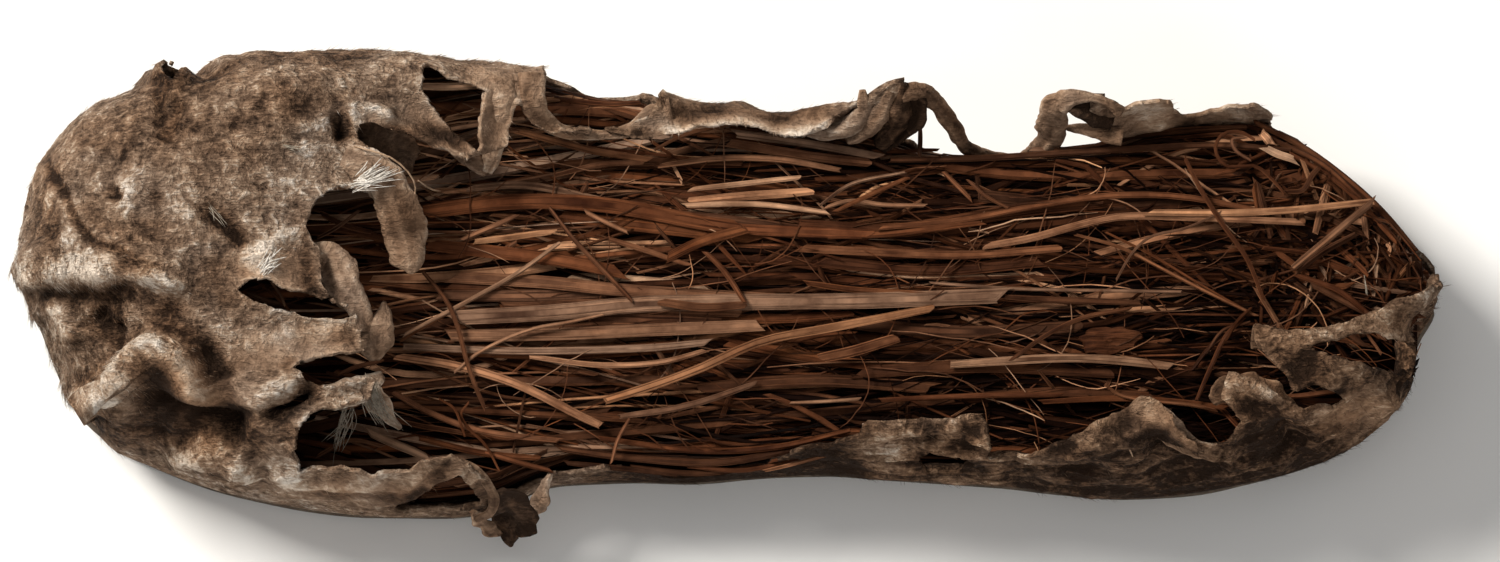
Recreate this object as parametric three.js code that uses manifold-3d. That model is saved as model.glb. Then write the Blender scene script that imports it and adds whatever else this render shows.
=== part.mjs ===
// An old hide shoe: a thick hide sole, a hide upper with cut lacing loops round its torn collar,
// and a bed of grass stalks inside as the insole. Millimetres, +Z up.
// +X runs from the toe to the heel and +Y to the inner side of the foot. The origin is on the floor,
// under the middle of the shoe.
import * as THREE from "three";
import { mergeVertices } from "three/addons/utils/BufferGeometryUtils.js";
import Module from "manifold-3d";

// Driving dimensions
const LENGTH = 280;
const HIDE = 2; // thickness of the upper
const SOLE = 3; // thickness of the sole
const GAP = 0.4; // between two pieces that lie against each other
const TUCK = 9; // margin of the upper that is turned in over the sole
const BELLY = 12; // height at which the wall bulges furthest out
const SOLE_INSET = 1.2; // the sole's edge lies this far inside the bulge

// The sole's underside along the foot: flat under the ball and the heel, raised between and at the ends
const TOE_SPRING = { from: -98, rise: 5 };
const ARCH = { from: -32, to: 72, rise: 1.8 };
const HEEL_LIFT = { from: 116, rise: 1.5 };

// The wall, section by section round the shoe: toe tip, outer side, heel tip, inner side.
// x, y: where the wall bulges furthest. rimX, rimY, rimZ: the edge of the whole hide at throat or collar.
// crown: the height that the hide reaches on its way there.
const WALL_COLUMNS = ["x", "y", "rimX", "rimY", "rimZ", "crown"];
const WALL = [
  [-140, 4, -66, 3, 43, 49],
  [-135.6, -10, -66, -4, 43, 49],
  [-128, -25, -66, -11, 43, 48],
  [-111, -35.5, -66, -18, 43, 47],
  [-90, -41.5, -64, -25, 42, 45],
  [-70, -44.2, -58, -32, 41, 43],
  [-48, -43.4, -44, -35, 38, 39],
  [-34, -38, -34, -31, 36, 37],
  [-6, -37.5, -6, -30, 36, 37],
  [18, -36.2, 18, -28, 37, 38],
  [30, -37, 29, -26, 39, 40],
  [54, -38.4, 53, -28, 40, 41],
  [78, -40.6, 76, -28, 41, 42],
  [100, -38, 94, -19, 42, 43],
  [120.5, -31.2, 104, -11, 43, 44],
  [134, -19.5, 114, -6.5, 43, 44],
  [136.6, -9.5, 128, -4, 41, 42],
  [140, -1.5, 138.5, -1, 38, 37],
  [131.6, 11.6, 130, 11, 40, 38],
  [117.4, 25.2, 116, 24.5, 40, 39],
  [105, 32.4, 104, 32.5, 41, 39],
  [86, 32, 86, 33.6, 41, 39],
  [68, 30, 67, 34, 41, 39],
  [56, 29, 56, 32, 42, 40],
  [44, 29.4, 44, 33, 44, 42],
  [33, 31, 33, 36, 45, 42],
  [12, 34, 12, 25.5, 35, 36],
  [-12, 37, -12, 26, 35, 37],
  [-36, 42.4, -36, 27, 37, 40.5],
  [-54, 45.8, -48, 22, 40, 44],
  [-76, 47.4, -60, 20, 42, 46],
  [-98, 46.2, -64, 16, 43, 48],
  [-119, 41, -66, 12, 43, 49],
  [-132.5, 30, -66, 9, 43, 49],
  [-138.8, 18, -66, 6, 43, 49],
];
const RING_STEPS = 76;
const PROFILE_STEPS = 12;

// The hide's line across the wall: the turned-in margin, the turn at the sole, the shoulder and the crown.
// reach: share of the way from the bulge to the edge. rise: share of the height from the bulge to the crown.
const TURN = { flat: 4.5, edge: 0.9, rise: 3 };
const SHOULDER = { reach: 0.1, rise: 0.6 };
const CROWN_REACH = 0.42;

// Where the hide is torn away: on one side of a line along the foot, all that is above a ragged edge of x, z
const TEARS = [
  { side: -1, beyond: 20, edge: [[-43, 52], [-39, 24], [-30, 17], [-14, 19], [2, 16.5], [16, 18], [23, 25], [26, 52]] },
  { side: 1, beyond: 12, edge: [[34, 60], [35.5, 23], [42, 18], [52, 16.5], [68, 15.5], [75, 20], [78, 32], [79, 60]] },
  { side: 1, beyond: 2.5, edge: [[104, 52], [107, 24], [116, 17], [126, 18], [135, 15.5], [143, 17], [144, 52]] },
];
const TEAR_REACH = 60;

// Slots cut from above: middle, length, width, and turn in degrees
const TOP_SLOTS = [
  { x: -76, y: 9, long: 17, wide: 12, turn: -25 },
  { x: -83, y: -6.5, long: 24, wide: 6, turn: -10 },
  { x: -76, y: -20.5, long: 19, wide: 6, turn: -6 },
  { x: -74, y: -33.5, long: 19, wide: 7, turn: -12 },
  { x: -55, y: 31.5, long: 13, wide: 9, turn: 20 },
  { x: -63, y: 24, long: 18, wide: 5, turn: -22 },
  { x: 119, y: -13, long: 17, wide: 6, turn: -14 },
  { x: 111, y: -20, long: 15, wide: 5, turn: 4 },
];
const TOP_SLOT_FLOOR = 28;

// Slots through a side wall, seen from the side: middle, length, height
const WALL_SLOTS = [
  { side: -1, x: -57, z: 24, long: 20, high: 11 },
  { side: 1, x: -25, z: 30, long: 20, high: 11 },
  { side: -1, x: 44, z: 31, long: 9, high: 5 },
];
const WALL_SLOT_DEPTH = { from: 22, to: 62 };

// Torn strips that hang from the upper: their middle line, width and thickness
const STRIPS = [
  { name: "throat tab", wide: 9, path: [[-67, 24, 42], [-63, 14, 43], [-61.5, 4, 40], [-62, -2, 37]] },
  { name: "throat loop", wide: 6, path: [[-80, 2, 46], [-70, -2, 44], [-66, -10, 43], [-65, -16, 41]] },
  { name: "outer flap", wide: 13, path: [[-43.5, -40.4, 27], [-43.5, -43.6, 21], [-43.5, -45.6, 14], [-43.5, -46.4, 7]] },
  { name: "torn strap", wide: 4.5, path: [[32, 33, 39], [38.5, 33.4, 38], [46, 31, 27], [54, 29, 14.5]] },
  { name: "inner loop", wide: 5, path: [[61, 28.6, 13], [62, 30.5, 27], [67, 32.4, 36], [74, 32.6, 37], [81, 32.4, 34]] },
];

// The grass bed: height along the foot, and the fall from its middle to its edges
const BED_COLUMNS = ["x", "top"];
const BED = [
  [-140, 14],
  [-110, 19],
  [-75, 25],
  [-30, 28],
  [30, 28],
  [90, 27],
  [125, 25],
  [142, 22],
];
const BED_FALL = 6;
const BED_HALF_WIDTH = 40;
const RIDGE = { pitch: 7, high: 1.6, wander: 5, wave: 150 };
const WELL_INSET = TUCK + 3; // the bed reaches down to the sole between the turned-in margins
const WELL_DEPTH = 9;
const BED_BLOCK = 104; // wider than the shoe
const BED_CELLS = { along: 20, across: 36 };

// Loose stalks on the bed: ends in plan, sideways bow, and the half width of the flattened stem
const STALKS = [
  { x0: -62, y0: 18, x1: 46, y1: 20, bow: -2, half: 1.6 },
  { x0: -58, y0: 11.5, x1: 88, y1: 13, bow: -1, half: 1.9 },
  { x0: -66, y0: 7, x1: 20, y1: 6, bow: 1, half: 2.2 },
  { x0: -60, y0: -2, x1: 52, y1: -1, bow: 1, half: 2.6 },
  { x0: -64, y0: -8, x1: 0, y1: -9, bow: -1, half: 1.8 },
  { x0: -60, y0: -14, x1: -8, y1: -19, bow: -3, half: 1.5 },
  { x0: -6, y0: -14, x1: 46, y1: -8, bow: 0, half: 1.7 },
  { x0: 8, y0: -16, x1: 96, y1: -13, bow: 0, half: 1.7 },
  { x0: -56, y0: -23, x1: 30, y1: -24, bow: -3, half: 1.5 },
  { x0: 26, y0: 6, x1: 110, y1: 8, bow: 2, half: 1.5 },
  { x0: 60, y0: 1, x1: 116, y1: 1, bow: -2, half: 1.6 },
  { x0: 58, y0: -7, x1: 108, y1: -8, bow: 1, half: 1.4 },
  { x0: 52, y0: 19, x1: 126, y1: 15, bow: -1, half: 1.5 },
  { x0: 36, y0: -21, x1: 92, y1: -21, bow: 1, half: 1.6 },
];
const STALK_FLATTEN = 0.5; // height of a stalk over its width
const STALK_STEPS = 10;
const STALK_SIDES = 6;

const COLOURS = { hide: 0x7a6a58, sole: 0x5c4d3f, grass: 0x5a3826, stalk: 0x7d5336 };

const wasm = await Module();
wasm.setup();

// A closed geometry as a solid that can be joined and cut
function solidOf(geometry) {
  const plain = geometry.clone();
  plain.deleteAttribute("normal");
  plain.deleteAttribute("uv");
  const merged = mergeVertices(plain, 1e-4);
  const mesh = new wasm.Mesh({
    numProp: 3,
    vertProperties: new Float32Array(merged.attributes.position.array),
    triVerts: new Uint32Array(merged.index.array),
  });
  return new wasm.Manifold(mesh);
}

function geometryOf(solid) {
  const mesh = solid.getMesh();
  const geometry = new THREE.BufferGeometry();
  geometry.setAttribute("position", new THREE.BufferAttribute(mesh.vertProperties, 3));
  geometry.setIndex(new THREE.BufferAttribute(mesh.triVerts, 1));
  geometry.computeVertexNormals();
  return geometry;
}

function geometryFrom(points, triangles) {
  const geometry = new THREE.BufferGeometry().setFromPoints(points);
  geometry.setIndex(triangles.flat());
  return geometry;
}

// The sole's underside at a place along the foot
function soleBottom(x) {
  const toe = Math.max(0, (TOE_SPRING.from - x) / (LENGTH / 2 + TOE_SPRING.from));
  const heel = Math.max(0, (x - HEEL_LIFT.from) / (LENGTH / 2 - HEEL_LIFT.from));
  const waist = THREE.MathUtils.clamp((x - ARCH.from) / (ARCH.to - ARCH.from), 0, 1);
  const arch = ARCH.rise * Math.sin(Math.PI * waist) ** 2;
  return TOE_SPRING.rise * toe ** 2 + HEEL_LIFT.rise * heel ** 2 + arch;
}

function soleTop(x) {
  return soleBottom(x) + SOLE;
}

// Distance round the shoe at each row of the wall table, and back at the first row
const wallKnots = WALL.reduce((knots, row, i) => {
  const next = WALL[(i + 1) % WALL.length];
  return [...knots, knots[i] + Math.hypot(next[0] - row[0], next[1] - row[1])];
}, [0]);
const GIRTH = wallKnots[WALL.length];

// The wall's section at a share of the way round, on a smooth closed curve through the table
function wallSection(share) {
  const rows = WALL.length;
  const distance = (share - Math.floor(share)) * GIRTH;
  const i = wallKnots.findLastIndex((knot) => knot <= distance) % rows;
  const knot = (k) => wallKnots[((k % rows) + rows) % rows] + GIRTH * Math.floor(k / rows);
  const value = (k, column) => WALL[((k % rows) + rows) % rows][column];
  const slope = (k, column) =>
    (value(k + 1, column) - value(k - 1, column)) / (knot(k + 1) - knot(k - 1));
  const step = knot(i + 1) - knot(i);
  const s = (distance - knot(i)) / step;
  const section = {};
  WALL_COLUMNS.forEach((name, column) => {
    const [a, b] = [value(i, column), value(i + 1, column)];
    const [da, db] = [slope(i, column) * step, slope(i + 1, column) * step];
    section[name] =
      a + s * (da + s * (3 * (b - a) - 2 * da - db + s * (2 * (a - b) + da + db)));
  });
  return section;
}

// Inward direction in plan, square to the outline
function inward(share) {
  const [a, b] = [wallSection(share - 0.004), wallSection(share + 0.004)];
  return new THREE.Vector3(a.y - b.y, b.x - a.x, 0).normalize();
}

// The hide's line from the turned-in margin, out round the bulge, up the wall and over to its edge
function wallProfile(share) {
  const { x, y, rimX, rimY, rimZ, crown } = wallSection(share);
  const seam = soleTop(x) + GAP;
  const belly = soleBottom(x) + BELLY;
  const under = (inset, z) => inward(share).multiplyScalar(inset).add(new THREE.Vector3(x, y, z));
  const over = (reach, z) =>
    new THREE.Vector3(x + reach * (rimX - x), y + reach * (rimY - y), z);
  return new THREE.CatmullRomCurve3([
    under(TUCK, seam),
    under(TURN.flat, seam),
    under(TURN.edge, seam + TURN.rise),
    under(0, belly),
    over(SHOULDER.reach, THREE.MathUtils.lerp(belly, crown, SHOULDER.rise)),
    over(CROWN_REACH, crown),
    over(1, rimZ),
  ]);
}

// The hide's outer face as rows of points round the shoe, with the direction square to it at each
function wallGrid() {
  const grid = [];
  for (let i = 0; i < RING_STEPS; i++) {
    const profile = wallProfile(i / RING_STEPS);
    grid.push(profile.getPoints(PROFILE_STEPS - 1));
  }
  const at = (i, j) =>
    grid[(i + RING_STEPS) % RING_STEPS][THREE.MathUtils.clamp(j, 0, PROFILE_STEPS - 1)];
  const outward = grid.map((row, i) =>
    row.map((_, j) => {
      const around = at(i + 1, j).clone().sub(at(i - 1, j));
      const up = at(i, j + 1).clone().sub(at(i, j - 1));
      return around.cross(up).normalize();
    }),
  );
  return { grid, outward };
}

// One layer of the wall, moved in from the hide's outer face
function wallLayer({ grid, outward }, depth) {
  return grid.flatMap((row, i) => row.map((p, j) => p.clone().addScaledVector(outward[i][j], -depth)));
}

function ringQuads(low, high, swap) {
  const quads = [];
  for (let i = 0; i < RING_STEPS; i++) {
    const next = (i + 1) % RING_STEPS;
    const [a, b, c, d] = [low(i), low(next), high(next), high(i)];
    quads.push(swap ? [a, c, b] : [a, b, c], swap ? [a, d, c] : [a, c, d]);
  }
  return quads;
}

// The whole hide as a wall of its own thickness, open at the top and underneath
function hideShell() {
  const wall = wallGrid();
  const points = [...wallLayer(wall, 0), ...wallLayer(wall, HIDE)];
  const outer = (j) => (i) => i * PROFILE_STEPS + j;
  const inner = (j) => (i) => (RING_STEPS + i) * PROFILE_STEPS + j;
  const triangles = [];
  for (let j = 0; j + 1 < PROFILE_STEPS; j++) {
    triangles.push(...ringQuads(outer(j), outer(j + 1), false));
    triangles.push(...ringQuads(inner(j), inner(j + 1), true));
  }
  triangles.push(...ringQuads(outer(0), inner(0), true));
  triangles.push(...ringQuads(outer(PROFILE_STEPS - 1), inner(PROFILE_STEPS - 1), false));
  return solidOf(geometryFrom(points, triangles));
}

// The space inside the whole hide
function innerForm(depth) {
  const points = wallLayer(wallGrid(), depth);
  const ring = (j) => (i) => i * PROFILE_STEPS + j;
  const triangles = [];
  for (let j = 0; j + 1 < PROFILE_STEPS; j++) triangles.push(...ringQuads(ring(j), ring(j + 1), false));
  const cap = (j, swap) => {
    const loop = [...Array(RING_STEPS).keys()].map(ring(j));
    const outline = loop.map((k) => new THREE.Vector2(points[k].x, points[k].y));
    for (const [a, b, c] of THREE.ShapeUtils.triangulateShape(outline, []))
      triangles.push(swap ? [loop[a], loop[c], loop[b]] : [loop[a], loop[b], loop[c]]);
  };
  cap(0, true);
  cap(PROFILE_STEPS - 1, false);
  return solidOf(geometryFrom(points, triangles));
}

// Sections that each hold the same number of points, joined and closed at both ends
function loft(sections) {
  const size = sections[0].length;
  const triangles = [];
  for (let s = 0; s + 1 < sections.length; s++)
    for (let k = 0; k < size; k++) {
      const [a, b] = [s * size + k, s * size + ((k + 1) % size)];
      triangles.push([a, b, b + size], [a, b + size, a + size]);
    }
  const last = (sections.length - 1) * size;
  for (let k = 1; k + 1 < size; k++) {
    triangles.push([0, k + 1, k]);
    triangles.push([last, last + k, last + k + 1]);
  }
  return solidOf(geometryFrom(sections.flat(), triangles));
}

// The two sides of the outline at a place along the foot
const OUTLINE_STEPS = 400;
const outline = Array.from({ length: OUTLINE_STEPS }, (_, i) => wallSection(i / OUTLINE_STEPS));
function sidesAt(x) {
  const crossings = [];
  outline.forEach((a, i) => {
    const b = outline[(i + 1) % OUTLINE_STEPS];
    if (a.x < x !== b.x < x) crossings.push(a.y + ((x - a.x) / (b.x - a.x)) * (b.y - a.y));
  });
  return { outer: Math.min(...crossings), inner: Math.max(...crossings) };
}

// A slab that follows the outline at an inset, between two heights that change along the foot
const SLAB_STEPS = 34;
const SLAB_EDGE = 0.8; // rounding of the lower edge
const SLAB_TIP = 0.4; // its ends are this blunt
function slab(inset, low, high) {
  const places = outline.map((section) => section.x);
  const [toe, heel] = [Math.min(...places), Math.max(...places)];
  const [centre, halfLength] = [(toe + heel) / 2, (heel - toe) / 2];
  const sections = [];
  for (let s = 0; s <= SLAB_STEPS; s++) {
    const share = -Math.cos((Math.PI * s) / SLAB_STEPS);
    const x = centre + share * (halfLength - inset);
    const sides = sidesAt(centre + share * (halfLength - SLAB_TIP));
    const middle = (sides.inner + sides.outer) / 2;
    const half = Math.max((sides.inner - sides.outer) / 2 - inset, 1.5);
    const [z0, z1] = [low(x), high(x)];
    const edge = (y, z) => new THREE.Vector3(x, middle + y, z);
    sections.push([
      edge(-half, z1),
      edge(-half, z0 + SLAB_EDGE),
      edge(SLAB_EDGE - half, z0),
      edge(half - SLAB_EDGE, z0),
      edge(half, z0 + SLAB_EDGE),
      edge(half, z1),
    ]);
  }
  return loft(sections);
}

// Height of the grass: crowned across the foot, with ridges where the stalks lie side by side
function tableAt(rows, x) {
  const i = THREE.MathUtils.clamp(rows.findLastIndex((row) => row[0] <= x), 0, rows.length - 2);
  const s = THREE.MathUtils.smoothstep(x, rows[i][0], rows[i + 1][0]);
  return THREE.MathUtils.lerp(rows[i][1], rows[i + 1][1], s);
}

function bedTop(x, y) {
  const crown = tableAt(BED, x) - BED_FALL * Math.min(1, (y / BED_HALF_WIDTH) ** 2);
  const lane = (y + RIDGE.wander * Math.sin((2 * Math.PI * x) / RIDGE.wave)) / RIDGE.pitch;
  return crown + RIDGE.high * (Math.abs(Math.cos(Math.PI * lane)) - 1);
}

// A block of grass under that height, wider than the shoe
function grassBlock() {
  const sections = [];
  for (let s = 0; s <= BED_CELLS.along; s++) {
    const x = (LENGTH + 4) * (s / BED_CELLS.along - 0.5);
    const section = [new THREE.Vector3(x, -BED_BLOCK / 2, 0), new THREE.Vector3(x, BED_BLOCK / 2, 0)];
    for (let k = 0; k <= BED_CELLS.across; k++) {
      const y = BED_BLOCK * (0.5 - k / BED_CELLS.across);
      section.push(new THREE.Vector3(x, y, bedTop(x, y)));
    }
    sections.push(section);
  }
  return loft(sections);
}

// A flat strip along a smooth line, its width level and square to the line
function strip(path, halfWidth, halfThick, steps, sides) {
  const curve = new THREE.CatmullRomCurve3(path.map((p) => new THREE.Vector3(...p)));
  const sections = [];
  for (let s = 0; s <= steps; s++) {
    const ahead = curve.getTangent(s / steps);
    const across = new THREE.Vector3(-ahead.y, ahead.x, 0).normalize();
    const up = ahead.clone().cross(across).normalize();
    const middle = curve.getPoint(s / steps);
    const section = [];
    for (let k = 0; k < sides; k++) {
      const turn = (2 * Math.PI * (k + 0.5)) / sides;
      section.push(
        middle
          .clone()
          .addScaledVector(across, halfWidth * Math.cos(turn))
          .addScaledVector(up, halfThick * Math.sin(turn)),
      );
    }
    sections.push(section);
  }
  return loft(sections);
}

function slotCutter(long, wide, depth) {
  const shape = new THREE.Shape().absellipse(0, 0, long / 2, wide / 2, 0, 2 * Math.PI);
  return new THREE.ExtrudeGeometry(shape, { depth, bevelEnabled: false, curveSegments: 12 });
}

function upper() {
  let hide = hideShell();
  for (const { side, beyond, edge } of TEARS) {
    const shape = new THREE.Shape(edge.map(([x, z]) => new THREE.Vector2(x, z)));
    const cutter = new THREE.ExtrudeGeometry(shape, { depth: TEAR_REACH - beyond, bevelEnabled: false });
    cutter.rotateX(Math.PI / 2).translate(0, side > 0 ? TEAR_REACH : -beyond, 0);
    hide = hide.subtract(solidOf(cutter));
  }
  for (const { path, wide } of STRIPS) hide = hide.add(strip(path, wide / 2, HIDE / 2, 8, 8));
  for (const { x, y, long, wide, turn } of TOP_SLOTS) {
    const cutter = slotCutter(long, wide, LENGTH);
    cutter.rotateZ(THREE.MathUtils.degToRad(turn)).translate(x, y, TOP_SLOT_FLOOR);
    hide = hide.subtract(solidOf(cutter));
  }
  for (const { side, x, z, long, high } of WALL_SLOTS) {
    const cutter = slotCutter(long, high, WALL_SLOT_DEPTH.to - WALL_SLOT_DEPTH.from);
    cutter.rotateX(Math.PI / 2);
    cutter.translate(x, side > 0 ? WALL_SLOT_DEPTH.to : -WALL_SLOT_DEPTH.from, z);
    hide = hide.subtract(solidOf(cutter));
  }
  return hide;
}

function sole() {
  return slab(SOLE_INSET, soleBottom, soleTop);
}

function grassBed() {
  const inside = innerForm(HIDE + GAP).intersect(grassBlock());
  const well = slab(WELL_INSET, (x) => soleTop(x) + GAP, (x) => soleTop(x) + WELL_DEPTH);
  return inside.add(well);
}

function stalk({ x0, y0, x1, y1, bow, half }) {
  const thick = half * STALK_FLATTEN;
  const path = [];
  for (let s = 0; s <= STALK_STEPS; s++) {
    const share = s / STALK_STEPS;
    const x = THREE.MathUtils.lerp(x0, x1, share);
    const y = THREE.MathUtils.lerp(y0, y1, share) + bow * Math.sin(Math.PI * share);
    const seat = Math.max(bedTop(x, y), bedTop(x, y - half), bedTop(x, y + half));
    path.push([x, y, seat + thick + GAP]);
  }
  return strip(path, half, thick, STALK_STEPS, STALK_SIDES);
}

// Assembly
function piece(name, solid, colour, roughness) {
  const material = new THREE.MeshStandardMaterial({ color: colour, roughness, metalness: 0 });
  const mesh = new THREE.Mesh(geometryOf(solid), material);
  mesh.name = name;
  return mesh;
}

const shoe = new THREE.Group();
shoe.add(piece("hide_sole", sole(), COLOURS.sole, 0.9));
shoe.add(piece("hide_upper", upper(), COLOURS.hide, 0.85));
shoe.add(piece("grass_bed", grassBed(), COLOURS.grass, 0.8));
STALKS.forEach((row, i) => {
  const name = `stalk_${String(i + 1).padStart(2, "0")}`;
  shoe.add(piece(name, stalk(row), COLOURS.stalk, 0.7));
});

export default shoe;
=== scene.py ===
"""An old hide shoe on a pale floor: hair-on hide upper, hide sole, and an insole bed of dry grass."""
import math

import bpy
import numpy as np
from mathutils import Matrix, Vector, noise


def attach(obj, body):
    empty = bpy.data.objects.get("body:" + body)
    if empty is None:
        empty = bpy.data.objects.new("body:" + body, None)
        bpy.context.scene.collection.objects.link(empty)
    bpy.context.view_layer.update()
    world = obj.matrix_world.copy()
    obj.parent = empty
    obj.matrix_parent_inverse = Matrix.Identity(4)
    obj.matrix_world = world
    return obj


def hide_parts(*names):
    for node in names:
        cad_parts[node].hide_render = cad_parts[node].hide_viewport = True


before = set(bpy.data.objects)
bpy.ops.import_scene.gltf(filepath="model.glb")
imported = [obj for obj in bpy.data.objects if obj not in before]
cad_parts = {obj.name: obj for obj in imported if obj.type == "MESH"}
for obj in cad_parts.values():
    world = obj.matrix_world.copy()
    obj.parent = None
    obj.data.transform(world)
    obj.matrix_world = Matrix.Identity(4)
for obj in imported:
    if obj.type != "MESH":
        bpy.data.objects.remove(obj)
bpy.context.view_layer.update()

MM = 0.001
TINY = 1e-9
FAR = 1e9
NOISE_SEED_STEP = 17.31

# View: the shoe is seen from above, a little from its outer side
ELEVATION = math.radians(78)
SIN_E = math.sin(ELEVATION)
COS_E = math.cos(ELEVATION)
MID_Z = 20.0
PICTURE = (1500, 562)
PX = 0.19635  # millimetres to a picture pixel
PX_ORIGIN = (730, 285)
CAMERA_AWAY = 4000.0


def plane(px, py):
    """Picture place to millimetres in the picture plane."""
    return (px - PX_ORIGIN[0]) * PX, (PX_ORIGIN[1] - py) * PX


def spot(px, py, z):
    """The point at height z that shows at a picture place."""
    u, v = plane(px, py)
    return np.array([u, (v - (z - MID_Z) * COS_E) / SIN_E, z])


def in_plane(points):
    """Picture plane coordinates of points."""
    return points[..., 0], points[..., 1] * SIN_E + (points[..., 2] - MID_Z) * COS_E


# Small helpers
def smooth(x, low, high):
    """Eased step, from 0 at low to 1 at high."""
    s = np.clip((x - low) / (high - low), 0.0, 1.0)
    return s * s * (3 - 2 * s)


def bell(x, width):
    """1 at zero, falling away over that width."""
    return np.exp(-((x / width) ** 2))


def unit(vectors):
    """Vectors scaled to length 1."""
    return vectors / np.maximum(np.linalg.norm(vectors, axis=-1, keepdims=True), TINY)


def between(x, rows):
    """Value at x from rows of place and value, straight between rows."""
    return np.interp(x, *zip(*rows))


def noise_at(points, size, seed):
    """Smooth noise from -1 to 1, with features of about that size in millimetres."""
    flat = np.asarray(points, float).reshape(-1, 3) / size + seed * NOISE_SEED_STEP
    values = [noise.noise(Vector(p)) for p in flat.tolist()]
    return np.array(values).reshape(np.shape(points)[:-1])


def waver(points, amount, size, seed):
    """Noise of that amount either way."""
    return amount * noise_at(points, size, seed)


def crest(points, sharpness, size, seed):
    """Sharp winding ridges with a height of 1."""
    return 1 - sharpness * np.abs(noise_at(points, size, seed))


# Sole and wall, from the solids' own tables
HIDE = 2.0
SOLE = 3.0
GAP = 0.4
TUCK = 9.0
BELLY = 12.0
SOLE_INSET = 1.2
HALF = 140.0
TOE_SPRING = (-98.0, 5.0)
ARCH = (-32.0, 72.0, 1.8)
HEEL_LIFT = (116.0, 1.5)
TURN_FLAT = 4.5
TURN_EDGE = 0.9
TURN_RISE = 3.0
SHOULDER_REACH = 0.1
SHOULDER_RISE = 0.6
CROWN_REACH = 0.42
# Rows round the shoe: x and y of the belly, x, y and z of the rim, height of the crown
WALL = np.array([
    [-140, 4, -66, 3, 43, 49],
    [-135.6, -10, -66, -4, 43, 49],
    [-128, -25, -66, -11, 43, 48],
    [-111, -35.5, -66, -18, 43, 47],
    [-90, -41.5, -64, -25, 42, 45],
    [-70, -44.2, -58, -32, 41, 43],
    [-48, -43.4, -44, -35, 38, 39],
    [-34, -38, -34, -31, 36, 37],
    [-6, -37.5, -6, -30, 36, 37],
    [18, -36.2, 18, -28, 37, 38],
    [30, -37, 29, -26, 39, 40],
    [54, -38.4, 53, -28, 40, 41],
    [78, -40.6, 76, -28, 41, 42],
    [100, -38, 94, -19, 42, 43],
    [120.5, -31.2, 104, -11, 43, 44],
    [134, -19.5, 114, -6.5, 43, 44],
    [136.6, -9.5, 128, -4, 41, 42],
    [140, -1.5, 138.5, -1, 38, 37],
    [131.6, 11.6, 130, 11, 40, 38],
    [117.4, 25.2, 116, 24.5, 40, 39],
    [105, 32.4, 104, 32.5, 41, 39],
    [86, 32, 86, 33.6, 41, 39],
    [68, 30, 67, 34, 41, 39],
    [56, 29, 56, 32, 42, 40],
    [44, 29.4, 44, 33, 44, 42],
    [33, 31, 33, 36, 45, 42],
    [12, 34, 12, 25.5, 35, 36],
    [-12, 37, -12, 26, 35, 37],
    [-36, 42.4, -36, 27, 37, 40.5],
    [-54, 45.8, -48, 22, 40, 44],
    [-76, 47.4, -60, 20, 42, 46],
    [-98, 46.2, -64, 16, 43, 48],
    [-119, 41, -66, 12, 43, 49],
    [-132.5, 30, -66, 9, 43, 49],
    [-138.8, 18, -66, 6, 43, 49],
], float)
ROWS = len(WALL)
KNOTS = np.concatenate([[0], np.cumsum(np.hypot(*(np.roll(WALL, -1, 0) - WALL)[:, :2].T))])
GIRTH = KNOTS[-1]
SIDE_SHARE = 0.004
OUTLINE_STEPS = 800


def sole_bottom(x):
    """Height of the sole's underside: toe spring, arch and heel lift."""
    x = np.asarray(x, float)
    toe = np.maximum(0, (TOE_SPRING[0] - x) / (HALF + TOE_SPRING[0]))
    heel = np.maximum(0, (x - HEEL_LIFT[0]) / (HALF - HEEL_LIFT[0]))
    waist = np.clip((x - ARCH[0]) / (ARCH[1] - ARCH[0]), 0, 1)
    return TOE_SPRING[1] * toe**2 + HEEL_LIFT[1] * heel**2 + ARCH[2] * np.sin(np.pi * waist) ** 2


def wall_section(share):
    """Columns of the wall table at shares of the way round."""
    distance = (share % 1.0) * GIRTH
    i = np.clip(np.searchsorted(KNOTS, distance, side="right") - 1, 0, ROWS - 1)

    def knot(k):
        return KNOTS[k % ROWS] + GIRTH * (k // ROWS)

    def slope(k):
        return (WALL[(k + 1) % ROWS] - WALL[(k - 1) % ROWS]) / (knot(k + 1) - knot(k - 1))[:, None]

    step = (knot(i + 1) - knot(i))[:, None]
    s = ((distance - knot(i))[:, None]) / step
    a, b = WALL[i], WALL[(i + 1) % ROWS]
    da, db = slope(i) * step, slope(i + 1) * step
    return a + s * (da + s * (3 * (b - a) - 2 * da - db + s * (2 * (a - b) + da + db)))


def spline(points, t):
    """Centripetal Catmull-Rom through points of shape (..., k, 3), at places t from 0 to 1."""
    k = points.shape[-2]
    first = 2 * points[..., :1, :] - points[..., 1:2, :]
    last = 2 * points[..., -1:, :] - points[..., -2:-1, :]
    p = np.concatenate([first, points, last], axis=-2)
    place = np.clip(np.asarray(t, float), 0, 1) * (k - 1)
    seg = np.minimum(place.astype(int), k - 2)
    w = (place - seg)[:, None]
    p0, p1, p2, p3 = (p[..., seg + j, :] for j in range(4))

    def chord(a, b):
        return np.maximum(np.sum((a - b) ** 2, axis=-1, keepdims=True), TINY) ** 0.25

    d0, d1, d2 = chord(p0, p1), chord(p1, p2), chord(p2, p3)
    t1 = ((p1 - p0) / d0 - (p2 - p0) / (d0 + d1) + (p2 - p1) / d1) * d1
    t2 = ((p2 - p1) / d1 - (p3 - p1) / (d1 + d2) + (p3 - p2) / d2) * d1
    return p1 + w * (t1 + w * (3 * (p2 - p1) - 2 * t1 - t2 + w * (2 * (p1 - p2) + t1 + t2)))


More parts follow.
